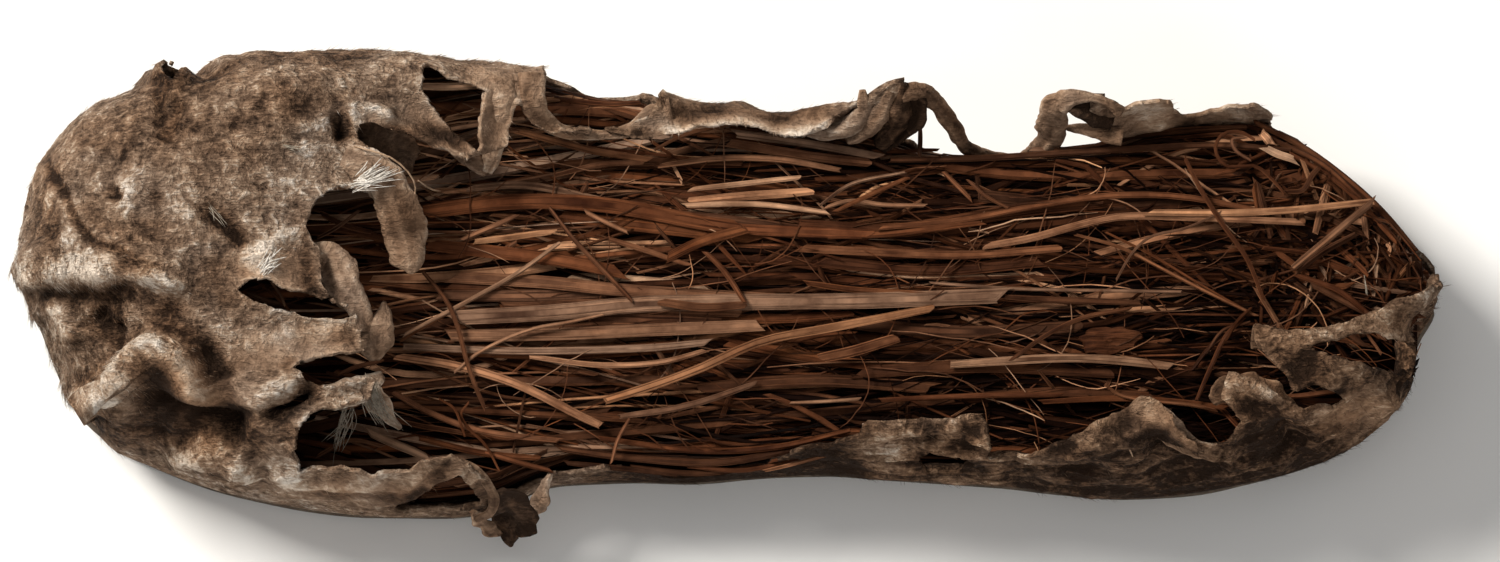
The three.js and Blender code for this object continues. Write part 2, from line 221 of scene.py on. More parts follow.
def wall_surface(shares, heights):
    """The hide's outer face: points of shape (shares, heights, 3)."""
    before, after = wall_section(shares - SIDE_SHARE), wall_section(shares + SIDE_SHARE)
    inward = unit(np.stack([before[:, 1] - after[:, 1], after[:, 0] - before[:, 0]], axis=1))
    x, y, rim_x, rim_y, rim_z, crown = wall_section(shares).T
    seam = sole_bottom(x) + SOLE + GAP
    belly = sole_bottom(x) + BELLY

    def under(inset, z):
        return np.stack([x + inward[:, 0] * inset, y + inward[:, 1] * inset, z], axis=1)

    def over(reach, z):
        return np.stack([x + reach * (rim_x - x), y + reach * (rim_y - y), z], axis=1)

    points = np.stack([
        under(TUCK, seam),
        under(TURN_FLAT, seam),
        under(TURN_EDGE, seam + TURN_RISE),
        under(0, belly),
        over(SHOULDER_REACH, belly + SHOULDER_RISE * (crown - belly)),
        over(CROWN_REACH, crown),
        over(1, rim_z),
    ], axis=1)
    return spline(points, heights)


OUTLINE = wall_section(np.arange(OUTLINE_STEPS) / OUTLINE_STEPS)[:, :2]


def inward_of(loop, reach):
    """Direction into the shoe at each point of a loop round it."""
    step = np.roll(loop, -reach, 0) - np.roll(loop, reach, 0)
    return unit(np.stack([-step[:, 1], step[:, 0]], axis=1))


def sides_at(x):
    """Outer and inner edge of the outline at a place along the foot."""
    a, b = OUTLINE, np.roll(OUTLINE, -1, 0)
    hit = (a[:, 0] < x) != (b[:, 0] < x)
    ys = a[hit, 1] + (x - a[hit, 0]) / (b[hit, 0] - a[hit, 0]) * (b[hit, 1] - a[hit, 1])
    return ys.min(), ys.max()


# Millimetres by which the hide is drawn in: on the inner side by place along the foot, and round the toe
# and behind the heel by height in the picture plane
DRAWN_INNER = [
    (-128, 0.4), (-122, 1.5), (-119, 1.9), (-116, -0.6), (-113.5, 1.2), (-110, 3.7), (-106.5, 2.8),
    (-103, 0.6), (-96, 0.7), (-84, 1.2), (-76, 1.4), (-66, 1.0), (-57, 0.6), (-53, 1.2), (-49, 0.3),
    (-40, 0.5), (-30, 1.0), (-21, 1.0), (-17, -0.3), (-13, 1.2), (-9, 1.2), (-4, 0.2), (2, -0.6), (7, 1.1),
    (14, 1.2), (22, 0.7), (28, 0.3), (32, 2.0), (44, 2.0), (50, 1.1), (57, 1.2), (62, 2.3), (75, 2.3),
    (79, 0.8), (84, 0.0),
]
DRAWN_TOE = [
    (-38, 0.0), (-35, -1.2), (-32, -1.2), (-29.5, 0.2), (-26.5, 3.0), (-23.5, 0.2), (-20.6, 0.4),
    (-17.7, 1.4), (-14.7, 0.8), (-11.8, 1.1), (-8.8, 1.3), (-5.9, 0.1), (-2.9, 0.6), (0, 0.0), (2.9, -1.3),
    (5.9, 0.8), (8.8, 0.8), (11.8, 1.1), (14.7, 1.1), (17.7, 0.9), (20.6, 0.6), (26.5, 0.3), (30, 0.0),
]
DRAWN_HEEL = [
    (-29.5, 0.0), (-23.5, 0.0), (-20.6, 0.6), (-17.7, 1.1), (-14.7, 3.0), (-11.8, 2.4), (-8.8, 3.6),
    (-5.9, 1.5), (-2.9, 1.7), (0, 0.6), (3, -1.2), (6, -0.8), (10, 0.0),
]
SIDE_END = 139.5
SIDE_STEPS = 280
SIDE_X = np.linspace(-SIDE_END, SIDE_END, SIDE_STEPS)
SIDE_Y = np.array([sides_at(x) for x in SIDE_X])


def outer_side(x):
    return np.interp(x, SIDE_X, SIDE_Y[:, 0])


def inner_side(x):
    return np.interp(x, SIDE_X, SIDE_Y[:, 1]) - between(x, DRAWN_INNER)


# Lines and polygons in the picture plane
def line_field(u, v, pixels):
    """Distance to a line, side of it, and share of the way along it."""
    pts = np.array([plane(*p) for p in pixels])
    lengths = np.hypot(*(pts[1:] - pts[:-1]).T)
    total = lengths.sum()
    best = np.full(u.shape, FAR)
    side = np.zeros(u.shape)
    along = np.zeros(u.shape)
    run = 0.0
    for (ax, ay), (bx, by), length in zip(pts[:-1], pts[1:], lengths):
        dx, dy = (bx - ax) / length, (by - ay) / length
        s = np.clip((u - ax) * dx + (v - ay) * dy, 0, length)
        ex, ey = u - ax - s * dx, v - ay - s * dy
        d = np.hypot(ex, ey)
        near = d < best
        best = np.where(near, d, best)
        side = np.where(near, np.sign(dx * ey - dy * ex), side)
        along = np.where(near, (run + s) / total, along)
        run += length
    return best, side, along


def polygon_field(u, v, pixels):
    """Signed distance to a polygon, negative inside."""
    pts = np.array([plane(*p) for p in pixels])
    best = np.full(u.shape, FAR)
    inside = np.zeros(u.shape, bool)
    for (ax, ay), (bx, by) in zip(pts, np.roll(pts, -1, 0)):
        length2 = (bx - ax) ** 2 + (by - ay) ** 2
        s = np.clip(((u - ax) * (bx - ax) + (v - ay) * (by - ay)) / length2, 0, 1)
        best = np.minimum(best, np.hypot(u - ax - s * (bx - ax), v - ay - s * (by - ay)))
        cross = (ay > v) != (by > v)
        with np.errstate(divide="ignore", invalid="ignore"):
            at = ax + (v - ay) / (by - ay) * (bx - ax)
        inside ^= cross & (u < at)
    return np.where(inside, -best, best)


def blob(u, v, px, py, across, down, power):
    """1 at a picture place, falling to 0 past its reach across and down; sharper with more power."""
    cu, cv = plane(px, py)
    return np.exp(-(((u - cu) / (across * PX)) ** 2 + ((v - cv) / (down * PX)) ** 2) ** power)


# Mesh making
def new_object(name, verts, faces, material, smooth_shade=True, floats=None):
    mesh = bpy.data.meshes.new(name)
    mesh.from_pydata((np.asarray(verts) * MM).tolist(), [], [list(map(int, f)) for f in faces])
    mesh.validate()
    for key, values in (floats or {}).items():
        layer = mesh.attributes.new(key, "FLOAT", "POINT")
        layer.data.foreach_set("value", np.asarray(values, np.float32))
    if smooth_shade:
        mesh.polygons.foreach_set("use_smooth", [True] * len(mesh.polygons))
    mesh.materials.append(material)
    mesh.update()
    made = bpy.data.objects.new(name, mesh)
    bpy.context.scene.collection.objects.link(made)
    return made


def tube_faces(rings, around):
    """Faces of a closed tube: its sides, then a cap on each end."""
    index = np.arange(rings * around).reshape(rings, around)
    nxt = np.roll(index, -1, 1)
    sides = np.stack([index[:-1], nxt[:-1], nxt[1:], index[1:]], -1).reshape(-1, 4)
    return sides.tolist() + [index[0, ::-1].tolist(), index[-1].tolist()]


def joined(meshes):
    """Vertices and faces of several meshes as one."""
    faces = []
    start = 0
    for verts, own_faces in meshes:
        faces.extend([i + start for i in face] for face in own_faces)
        start += len(verts)
    return np.concatenate([verts for verts, _ in meshes]), faces


def clip_triangles(verts, tris, field, extra):
    """Keeps the part of each triangle where field is positive, with new points on the edge."""
    verts = list(map(tuple, verts))
    values = {k: list(v) for k, v in extra.items()}
    cut = {}

    def edge_point(a, b):
        key = (a, b) if a < b else (b, a)
        if key not in cut:
            a, b = key
            s = field[a] / (field[a] - field[b])
            pa, pb = verts[a], verts[b]
            cut[key] = len(verts)
            verts.append(tuple(pa[i] + s * (pb[i] - pa[i]) for i in range(3)))
            for v in values.values():
                v.append(v[a] + s * (v[b] - v[a]))
        return cut[key]

    kept = []
    for tri in tris.tolist():
        signs = [field[i] > 0 for i in tri]
        if all(signs):
            kept.append(tri)
        elif any(signs):
            loop = []
            for k in range(3):
                a, b = tri[k], tri[(k + 1) % 3]
                if field[a] > 0:
                    loop.append(a)
                if (field[a] > 0) != (field[b] > 0):
                    loop.append(edge_point(a, b))
            kept.extend([loop[0], loop[k], loop[k + 1]] for k in range(1, len(loop) - 1))
    used = sorted({i for t in kept for i in t})
    index = {old: new for new, old in enumerate(used)}
    points = np.array([verts[i] for i in used])
    faces = [[index[i] for i in t] for t in kept]
    return points, faces, {k: np.array([v[i] for i in used]) for k, v in values.items()}


# Shader nodes
MIX_INPUTS = (0, 6, 7)  # factor and the two colours of a mix node
MIX_RESULT = 2
DULL = 0.08  # specular level of hide and of the speckled materials
DULLER = 0.04  # and of straw


def node(tree, kind, **inputs):
    made = tree.nodes.new(kind)
    for key, value in inputs.items():
        made.inputs[key].default_value = value
    return made


def feed(tree, socket, value):
    """Links a socket to another one, or sets it to a constant."""
    if isinstance(value, bpy.types.NodeSocket):
        tree.links.new(value, socket)
    else:
        socket.default_value = value


def ramp(tree, source, stops):
    made = node(tree, "ShaderNodeValToRGB")
    while len(made.color_ramp.elements) < len(stops):
        made.color_ramp.elements.new(0.5)
    for element, (position, colour) in zip(made.color_ramp.elements, stops):
        element.position = position
        element.color = (*colour, 1)
    tree.links.new(source, made.inputs["Fac"])
    return made.outputs["Color"]


def tinted(tree, factor, a, b):
    """One colour multiplied by another."""
    made = node(tree, "ShaderNodeMix")
    made.data_type = "RGBA"
    made.blend_type = "MULTIPLY"
    for place, value in zip(MIX_INPUTS, (factor, a, b)):
        feed(tree, made.inputs[place], value)
    return made.outputs[MIX_RESULT]


def maths(tree, kind, a, b):
    made = node(tree, "ShaderNodeMath")
    made.operation = kind
    feed(tree, made.inputs[0], a)
    feed(tree, made.inputs[1], b)
    return made.outputs[0]


def weighted(tree, parts):
    """Sum of sockets, each times its weight."""
    total = 0.0
    for socket, weight in parts:
        total = maths(tree, "ADD", maths(tree, "MULTIPLY", socket, weight), total)
    return total


def noise_tex(tree, vector, scale, detail, rough=0.5, distort=0.0, kind="FBM"):
    made = node(tree, "ShaderNodeTexNoise", Scale=scale, Detail=detail, Roughness=rough, Distortion=distort)
    made.noise_type = kind
    tree.links.new(vector, made.inputs["Vector"])
    return made.outputs["Fac"]


def mapped(tree, vector, scale, turn=(0, 0, 0)):
    made = node(tree, "ShaderNodeMapping", Scale=scale, Rotation=turn)
    tree.links.new(vector, made.inputs["Vector"])
    return made.outputs["Vector"]


def attribute(tree, name):
    made = node(tree, "ShaderNodeAttribute")
    made.attribute_name = name
    return made.outputs["Fac"]


def start_material(name, roughness, specular):
    """A material, its node tree, its shader, and its object coordinates in millimetres."""
    made = bpy.data.materials.new(name)
    made.use_nodes = True
    tree = made.node_tree
    shader = tree.nodes["Principled BSDF"]
    shader.inputs["Roughness"].default_value = roughness
    shader.inputs["Specular IOR Level"].default_value = specular
    coords = node(tree, "ShaderNodeTexCoord").outputs["Object"]
    return made, tree, shader, mapped(tree, coords, (1 / MM, 1 / MM, 1 / MM))


def finish_material(tree, shader, colour, height, strength, distance):
    """Gives the shader its colour and its bumps."""
    tree.links.new(colour, shader.inputs["Base Color"])
    made = node(tree, "ShaderNodeBump", Strength=strength, Distance=distance)
    tree.links.new(height, made.inputs["Height"])
    tree.links.new(made.outputs["Normal"], shader.inputs["Normal"])


# Hide material. Noises: scale per millimetre, detail, roughness, distortion
PATCH_NOISE = (0.05, 4, 0.6, 0.8)
CLOUD_NOISE = (0.15, 4, 0.6, 0.9)
BLOTCH_NOISE = (0.36, 4, 0.62, 0.8)
STROKE_NOISE = (0.9, 4, 0.65, 0.6)
FLECK_NOISE = (0.95, 3, 0.6, 0.5)
FOLD_NOISE = (0.15, 3, 0.5, 0.8)
NAP_STRETCH = (0.45, 2.4, 1.2)
NAP_TURN = (0, 0, math.radians(38))
MOTTLE_WEIGHTS = (0.46, 0.98, 1.02, 0.72, 0.54)  # patches, clouds, blotches, strokes, flecks
MOTTLE_MEAN = 1.86
CALM_LOSS = 0.6
# How far wear and painted highlights lift the tone, and how far stains and painted shade lower it
WEAR_AND_HIGHLIGHT_GAIN = 0.36
STAIN_AND_SHADE_LOSS = -0.40
MID_TONE = 0.5
RELIEF_WEIGHTS = (1.3, 1.5, 0.7, 0.6, 0.45)  # clouds, blotches, strokes, flecks, folds
HIDE_BUMP = (1.0, 0.0019)  # strength, depth in metres
HIDE_ROUGHNESS = 0.9
HIDE_PALETTE = [
    (0.08, (0.030, 0.0185, 0.0125)),
    (0.28, (0.112, 0.0705, 0.0470)),
    (0.45, (0.226, 0.147, 0.0985)),
    (0.58, (0.350, 0.240, 0.164)),
    (0.71, (0.540, 0.416, 0.316)),
    (0.90, (0.860, 0.745, 0.630)),
]
HIDE_HUES = [(0.36, (1.04, 0.98, 0.92)), (0.52, (1.0, 1.0, 1.0)), (0.66, (0.95, 1.0, 1.07))]
# Warmer brown in stains and in painted shade
STAIN_AND_SHADE_HUES = [(0.1, (1.0, 1.0, 1.0)), (0.8, (1.0, 0.90, 0.80))]


def hide_material(name):
    """Short-haired hide: one palette from painted shade and dark stains through brown to pale bare skin and
    painted highlights.
    """
    made, tree, shader, mm = start_material(name, HIDE_ROUGHNESS, DULL)
    patches = noise_tex(tree, mm, *PATCH_NOISE)
    cloud = noise_tex(tree, mm, *CLOUD_NOISE)
    blotch = noise_tex(tree, mm, *BLOTCH_NOISE)
    stroke = noise_tex(tree, mapped(tree, mm, NAP_STRETCH, NAP_TURN), *STROKE_NOISE)
    fleck = noise_tex(tree, mm, *FLECK_NOISE)
    fold = noise_tex(tree, mm, *FOLD_NOISE, kind="RIDGED_MULTIFRACTAL")
    wear_and_highlight, stain_and_shade, calm = (attribute(tree, key) for key in ("wear_and_highlight", "stain_and_shade", "calm"))
    mottle = weighted(tree, zip((patches, cloud, blotch, stroke, fleck), MOTTLE_WEIGHTS))
    mottle = maths(tree, "SUBTRACT", mottle, MOTTLE_MEAN)
    keep = maths(tree, "SUBTRACT", 1.0, maths(tree, "MULTIPLY", calm, CALM_LOSS))
    mottle = maths(tree, "MULTIPLY", mottle, keep)
    # Tone: the mottle, paler where worn or given a painted highlight, darker under stains and painted shade
    tone = weighted(tree, [(mottle, 1.0), (wear_and_highlight, WEAR_AND_HIGHLIGHT_GAIN), (stain_and_shade, STAIN_AND_SHADE_LOSS)])
    colour = ramp(tree, maths(tree, "ADD", tone, MID_TONE), HIDE_PALETTE)
    colour = tinted(tree, 1.0, colour, ramp(tree, patches, HIDE_HUES))
    colour = tinted(tree, 1.0, colour, ramp(tree, stain_and_shade, STAIN_AND_SHADE_HUES))
    height = weighted(tree, zip((cloud, blotch, stroke, fleck, fold), RELIEF_WEIGHTS))
    height = maths(tree, "MULTIPLY", height, keep)
    finish_material(tree, shader, colour, height, *HIDE_BUMP)
    return made


# Straw material
STREAK_STRETCH = (0.05, 9.0, 60.0)  # along a stem, around it, from stem to stem
STREAK_NOISE = (1.0, 4, 0.65)
STAIN_NOISE = (0.16, 4, 0.6)
GRAIN_NOISE = (3.0, 3, 0.6)
STREAK_TINTS = [(0.34, (0.22, 0.16, 0.13)), (0.5, (0.95, 0.95, 0.95)), (0.68, (2.0, 1.98, 1.90))]
STREAK_SHARE = 0.9
STAIN_TINTS = [(0.34, (0.48, 0.39, 0.33)), (0.58, (1.12, 1.09, 1.04))]
STAIN_SHARE = 0.7
STEM_HUES = [(0.0, (0.80, 0.84, 0.92)), (0.28, (1.0, 1.0, 1.0)), (0.70, (1.08, 0.91, 0.80)),
             (1.0, (1.16, 1.0, 0.82))]
GRAIN_WEIGHT = 0.25
STRAW_BUMP = (0.7, 0.0007)
STRAW_ROUGHNESS = 0.6
# Speckled material
SPOT_NOISE = (5, 0.65, 0.3)
SPOT_TONES = (0.32, 0.68)
SPOT_BUMP = (0.5, 0.001)


def straw_material(name, dark, middle, light):
    """Dry stem: streaked along its length, with a tone of its own."""
    made, tree, shader, mm = start_material(name, STRAW_ROUGHNESS, DULLER)
    along, around, seed = (attribute(tree, key) for key in ("along", "around", "seed"))
    place = node(tree, "ShaderNodeCombineXYZ")
    for socket, key, stretch in zip(place.inputs, (along, around, seed), STREAK_STRETCH):
        tree.links.new(maths(tree, "MULTIPLY", key, stretch), socket)
    streak = noise_tex(tree, place.outputs["Vector"], *STREAK_NOISE)
    stain = noise_tex(tree, mm, *STAIN_NOISE)
    grain = noise_tex(tree, mm, *GRAIN_NOISE)
    body = ramp(tree, attribute(tree, "tone"), [(0.0, dark), (0.5, middle), (1.0, light)])
    colour = tinted(tree, STREAK_SHARE, body, ramp(tree, streak, STREAK_TINTS))
    colour = tinted(tree, STAIN_SHARE, colour, ramp(tree, stain, STAIN_TINTS))
    colour = tinted(tree, 1.0, colour, ramp(tree, seed, STEM_HUES))
    height = maths(tree, "ADD", streak, maths(tree, "MULTIPLY", grain, GRAIN_WEIGHT))
    finish_material(tree, shader, colour, height, *STRAW_BUMP)
    return made


def speckled_material(name, dark, light, size, roughness):
    """Two tones in spots of about that size in millimetres."""
    made, tree, shader, mm = start_material(name, roughness, DULL)
    spots = noise_tex(tree, mm, 1 / size, *SPOT_NOISE)
    colour = ramp(tree, spots, [(SPOT_TONES[0], dark), (SPOT_TONES[1], light)])
    finish_material(tree, shader, colour, spots, *SPOT_BUMP)
    return made


HIDE_MAT = hide_material("hide_hair")
SOLE_MAT = speckled_material("sole_hide", (0.055, 0.042, 0.032), (0.16, 0.125, 0.095), 3.0, 0.9)
STRAW_MAT = straw_material("straw", (0.0026, 0.0006, 0.0002), (0.100, 0.0405, 0.0195), (0.54, 0.345, 0.225))
# Near-black speckle: painted shade for the deep gaps between the stalks
BED_SHADE_MAT = speckled_material("straw_bed_shade", (0.005, 0.0012, 0.0004), (0.020, 0.0065, 0.0028), 2.5, 0.95)
LOCK_MAT = speckled_material("frayed_lock", (0.42, 0.37, 0.31), (0.94, 0.89, 0.82), 0.8, 0.85)
THREAD_MAT = speckled_material("frayed_thread", (0.15, 0.12, 0.09), (0.46, 0.40, 0.32), 0.8, 0.85)
FIBRE_MAT = speckled_material("loose_fibre", (0.20, 0.12, 0.07), (0.52, 0.36, 0.24), 1.6, 0.8)

# Hide upper: creases, given in picture places. Each: kind, height, width, line.
# A ridge stands up and is worn pale, partly as a painted highlight on its crest; a fold only stands up; a
# trough sinks and gets painted shade;
# a cut is a thin line of painted shade; and a step lifts the left side of its line above the other, with a
# painted highlight along its high edge and painted shade at its foot.
CREASES = [
    ("step", 1.3, 8.0, [(186, 290), (150, 265), (120, 245), (95, 226), (75, 200), (60, 175), (42, 150)]),
    ("step", 3.4, 8.0, [(8, 286), (50, 284), (90, 285), (130, 280), (165, 285), (200, 297)]),
    ("trough", -1.4, 6.5, [(35, 302), (80, 300), (130, 300), (200, 308)]),
    ("ridge", 2.0, 4.5, [(145, 272), (170, 286), (192, 290)]),
    ("ridge", 2.2, 5.0, [(45, 296), (66, 318), (80, 345)]),
    ("trough", -4.2, 7.0, [(85, 315), (105, 328), (125, 330)]),
    ("step", 6.4, 12.0, [(226, 414), (214, 395), (203, 372), (188, 348), (170, 335), (152, 333), (136, 345),
     (120, 362), (95, 384), (60, 404)]),
    ("ridge", 1.4, 3.4, [(222, 408), (212, 390), (200, 368), (186, 350), (170, 338), (154, 337), (139, 349),
     (122, 366), (97, 387), (66, 403)]),
    ("trough", -3.0, 6.5, [(200, 345), (216, 362), (226, 382)]),
    ("trough", -6.6, 9.0, [(142, 388), (176, 406), (212, 424), (250, 440)]),
    ("step", 3.2, 8.0, [(272, 470), (252, 462), (232, 445), (206, 440), (186, 450), (158, 464)]),
    ("step", 2.2, 7.0, [(234, 411), (262, 405), (290, 391), (318, 375)]),
    ("trough", -4.2, 4.0, [(262, 416), (290, 404), (322, 384)]),
    ("ridge", 1.6, 9.0, [(240, 346), (270, 340), (310, 336), (362, 336)]),
    ("ridge", 2.4, 5.0, [(235, 262), (268, 250), (300, 226)]),
    ("trough", -2.2, 4.0, [(200, 200), (226, 222), (252, 242)]),
    ("trough", -0.8, 8.0, [(150, 120), (200, 130), (250, 128)]),
    ("trough", -2.0, 7.0, [(180, 95), (175, 125), (165, 150)]),
    ("ridge", 1.6, 9.0, [(210, 90), (280, 92), (340, 84)]),
    ("trough", -2.6, 3.4, [(337, 112), (345, 126), (349, 146)]),
    ("cut", -1.6, 1.5, [(343, 114), (346, 128), (350, 144)]),
    ("ridge", 3.0, 4.6, [(350, 132), (356, 112), (376, 110), (394, 118)]),
    ("fold", 3.0, 4.6, [(370, 110), (410, 126), (446, 146), (482, 168)]),
    ("ridge", 2.2, 5.0, [(262, 470), (310, 480), (360, 480), (400, 478), (440, 462)]),
    ("trough", -2.0, 7.0, [(95, 420), (130, 425), (170, 440)]),
    ("ridge", 1.5, 6.0, [(640, 132), (690, 124), (740, 122), (790, 132), (850, 134)]),
    ("trough", -1.6, 5.0, [(660, 112), (720, 108), (800, 118)]),
    ("ridge", 3.2, 4.4, [(1128, 424), (1142, 408), (1160, 414), (1176, 432), (1202, 442), (1232, 444)]),
    ("ridge", 3.4, 5.0, [(1218, 402), (1232, 384), (1262, 392), (1290, 404), (1302, 430)]),
    ("trough", -4.0, 6.0, [(1140, 446), (1180, 456), (1230, 458)]),
    ("trough", -3.4, 5.0, [(1278, 420), (1290, 440), (1300, 462)]),
    ("ridge", 2.8, 6.0, [(1315, 352), (1345, 362), (1372, 386), (1396, 400)]),
    ("trough", -2.6, 6.0, [(1000, 476), (1050, 470), (1110, 462)]),
    ("ridge", 2.2, 4.5, [(1010, 458), (1060, 452), (1110, 436)]),
    ("trough", -2.4, 4.0, [(1080, 486), (1150, 484), (1230, 468)]),
    ("ridge", 2.0, 4.0, [(1180, 456), (1215, 448), (1236, 452)]),
    ("ridge", 1.8, 5.0, [(1258, 338), (1320, 334), (1380, 310), (1436, 286)]),
    ("trough", -1.6, 4.0, [(900, 452), (940, 440), (975, 446)]),
    ("cut", -1.3, 0.9, [(44, 152), (60, 178), (72, 200), (85, 222), (100, 238), (118, 246), (140, 258),
     (154, 274)]),
    ("cut", -1.0, 0.8, [(84, 417), (104, 417), (122, 412)]),
    ("cut", -1.0, 1.0, [(160, 92), (162, 112), (158, 130)]),
    ("cut", -1.2, 1.0, [(206, 212), (220, 222), (236, 234), (250, 244)]),
    ("ridge", 1.2, 3.4, [(138, 178), (134, 200), (122, 228)]),
    ("cut", -1.0, 1.8, [(116, 196), (126, 194)]),
    ("cut", -1.0, 1.2, [(1302, 418), (1297, 436), (1302, 454)]),
    ("step", 1.6, 5.0, [(1404, 402), (1388, 388), (1366, 378)]),
    ("ridge", 1.8, 4.0, [(1126, 116), (1144, 112), (1164, 111), (1178, 122)]),
    ("trough", -2.2, 3.6, [(1180, 118), (1192, 128), (1198, 140)]),
    ("ridge", 1.6, 3.6, [(1200, 124), (1226, 116), (1252, 112)]),
]
# What is cut or torn out of the hide, as picture polygons
COLLAR = [
    (485, 174), (468, 166), (448, 152), (428, 142), (400, 134), (372, 122), (360, 126), (358, 142),
    (372, 150), (396, 162), (384, 178), (372, 190), (340, 188), (316, 200), (306, 226), (314, 246),
    (322, 252), (322, 284), (334, 300), (352, 306), (358, 318), (362, 330), (362, 346), (366, 352),
    (344, 355), (318, 358), (300, 363), (292, 370), (302, 376), (310, 382), (322, 387), (340, 388),
    (356, 384), (368, 376), (376, 380), (370, 398), (352, 405), (334, 407), (319, 408), (305, 420),
    (297, 446), (304, 465), (325, 463), (347, 463), (375, 467), (398, 463), (424, 458), (452, 456),
    (470, 462), (488, 476), (500, 497), (494, 514), (510, 530), (540, 536), (548, 496), (552, 474),
    (580, 466), (602, 462), (655, 472), (700, 478), (748, 466), (770, 462), (800, 447), (860, 428),
    (866, 421), (984, 417), (990, 446), (982, 452), (1000, 449), (1032, 445), (1066, 437), (1094, 427),
    (1120, 416), (1140, 404), (1160, 408), (1176, 428), (1202, 436), (1222, 432), (1238, 414), (1216, 400),
    (1230, 378), (1262, 386), (1290, 398), (1284, 374), (1256, 352), (1250, 326), (1276, 334), (1302, 336),
    (1340, 326), (1380, 309), (1420, 291), (1442, 281), (1460, 240), (1440, 200), (1360, 120), (1278, 90),
    (1270, 124), (1240, 130), (1210, 137), (1180, 145), (1122, 146), (1112, 134), (1098, 128), (1092, 116),
    (1090, 104), (1082, 92), (1060, 80), (900, 70), (908, 116), (884, 148), (852, 139), (812, 137),
    (790, 134), (742, 122), (700, 124), (642, 137), (600, 129), (570, 139), (548, 131), (534, 124),
    (523, 108), (517, 97), (513, 106), (510, 120), (506, 140), (502, 166),
]
HOLES = [
    [(238, 289), (250, 282), (272, 280), (288, 288), (312, 293), (340, 306), (352, 309), (354, 318),
     (344, 322), (324, 320), (300, 315), (276, 310), (254, 302)],
    [(381, 504), (392, 497), (412, 490), (440, 477), (460, 469), (472, 480), (482, 498), (478, 508),
     (456, 511), (420, 513), (396, 512)],
    [(423, 72), (432, 70), (452, 80), (474, 86), (484, 92), (482, 106), (480, 120), (482, 144), (478, 152),
     (464, 142), (446, 125), (432, 108), (422, 90)],
    [(543, 72), (540, 100), (549, 119), (566, 129), (600, 127), (630, 127), (650, 115), (660, 100),
     (661, 88), (640, 50), (560, 50)],
    [(161, 64), (172, 73), (180, 66), (187, 71), (180, 86), (170, 80)],
    [(1296, 349), (1324, 343), (1344, 335), (1366, 332), (1388, 334), (1404, 342), (1411, 355), (1406, 366),
     (1390, 369), (1368, 362), (1346, 354), (1318, 355)],
    [(1284, 398), (1290, 386), (1306, 379), (1326, 384), (1336, 391), (1330, 397), (1306, 399)],
    [(914, 457), (930, 448), (950, 448), (976, 458), (954, 467), (928, 466)],
    [(272, 412), (292, 402), (312, 390), (316, 394), (298, 406), (276, 415)],
    [(1098, 60), (1106, 104), (1118, 112), (1132, 107), (1158, 102), (1170, 106), (1180, 116), (1204, 116),
     (1232, 109), (1256, 106), (1274, 122), (1294, 60)],
    [(652, 60), (657, 97), (690, 99), (748, 99), (760, 107), (800, 109), (836, 103), (850, 100), (866, 60)],
]
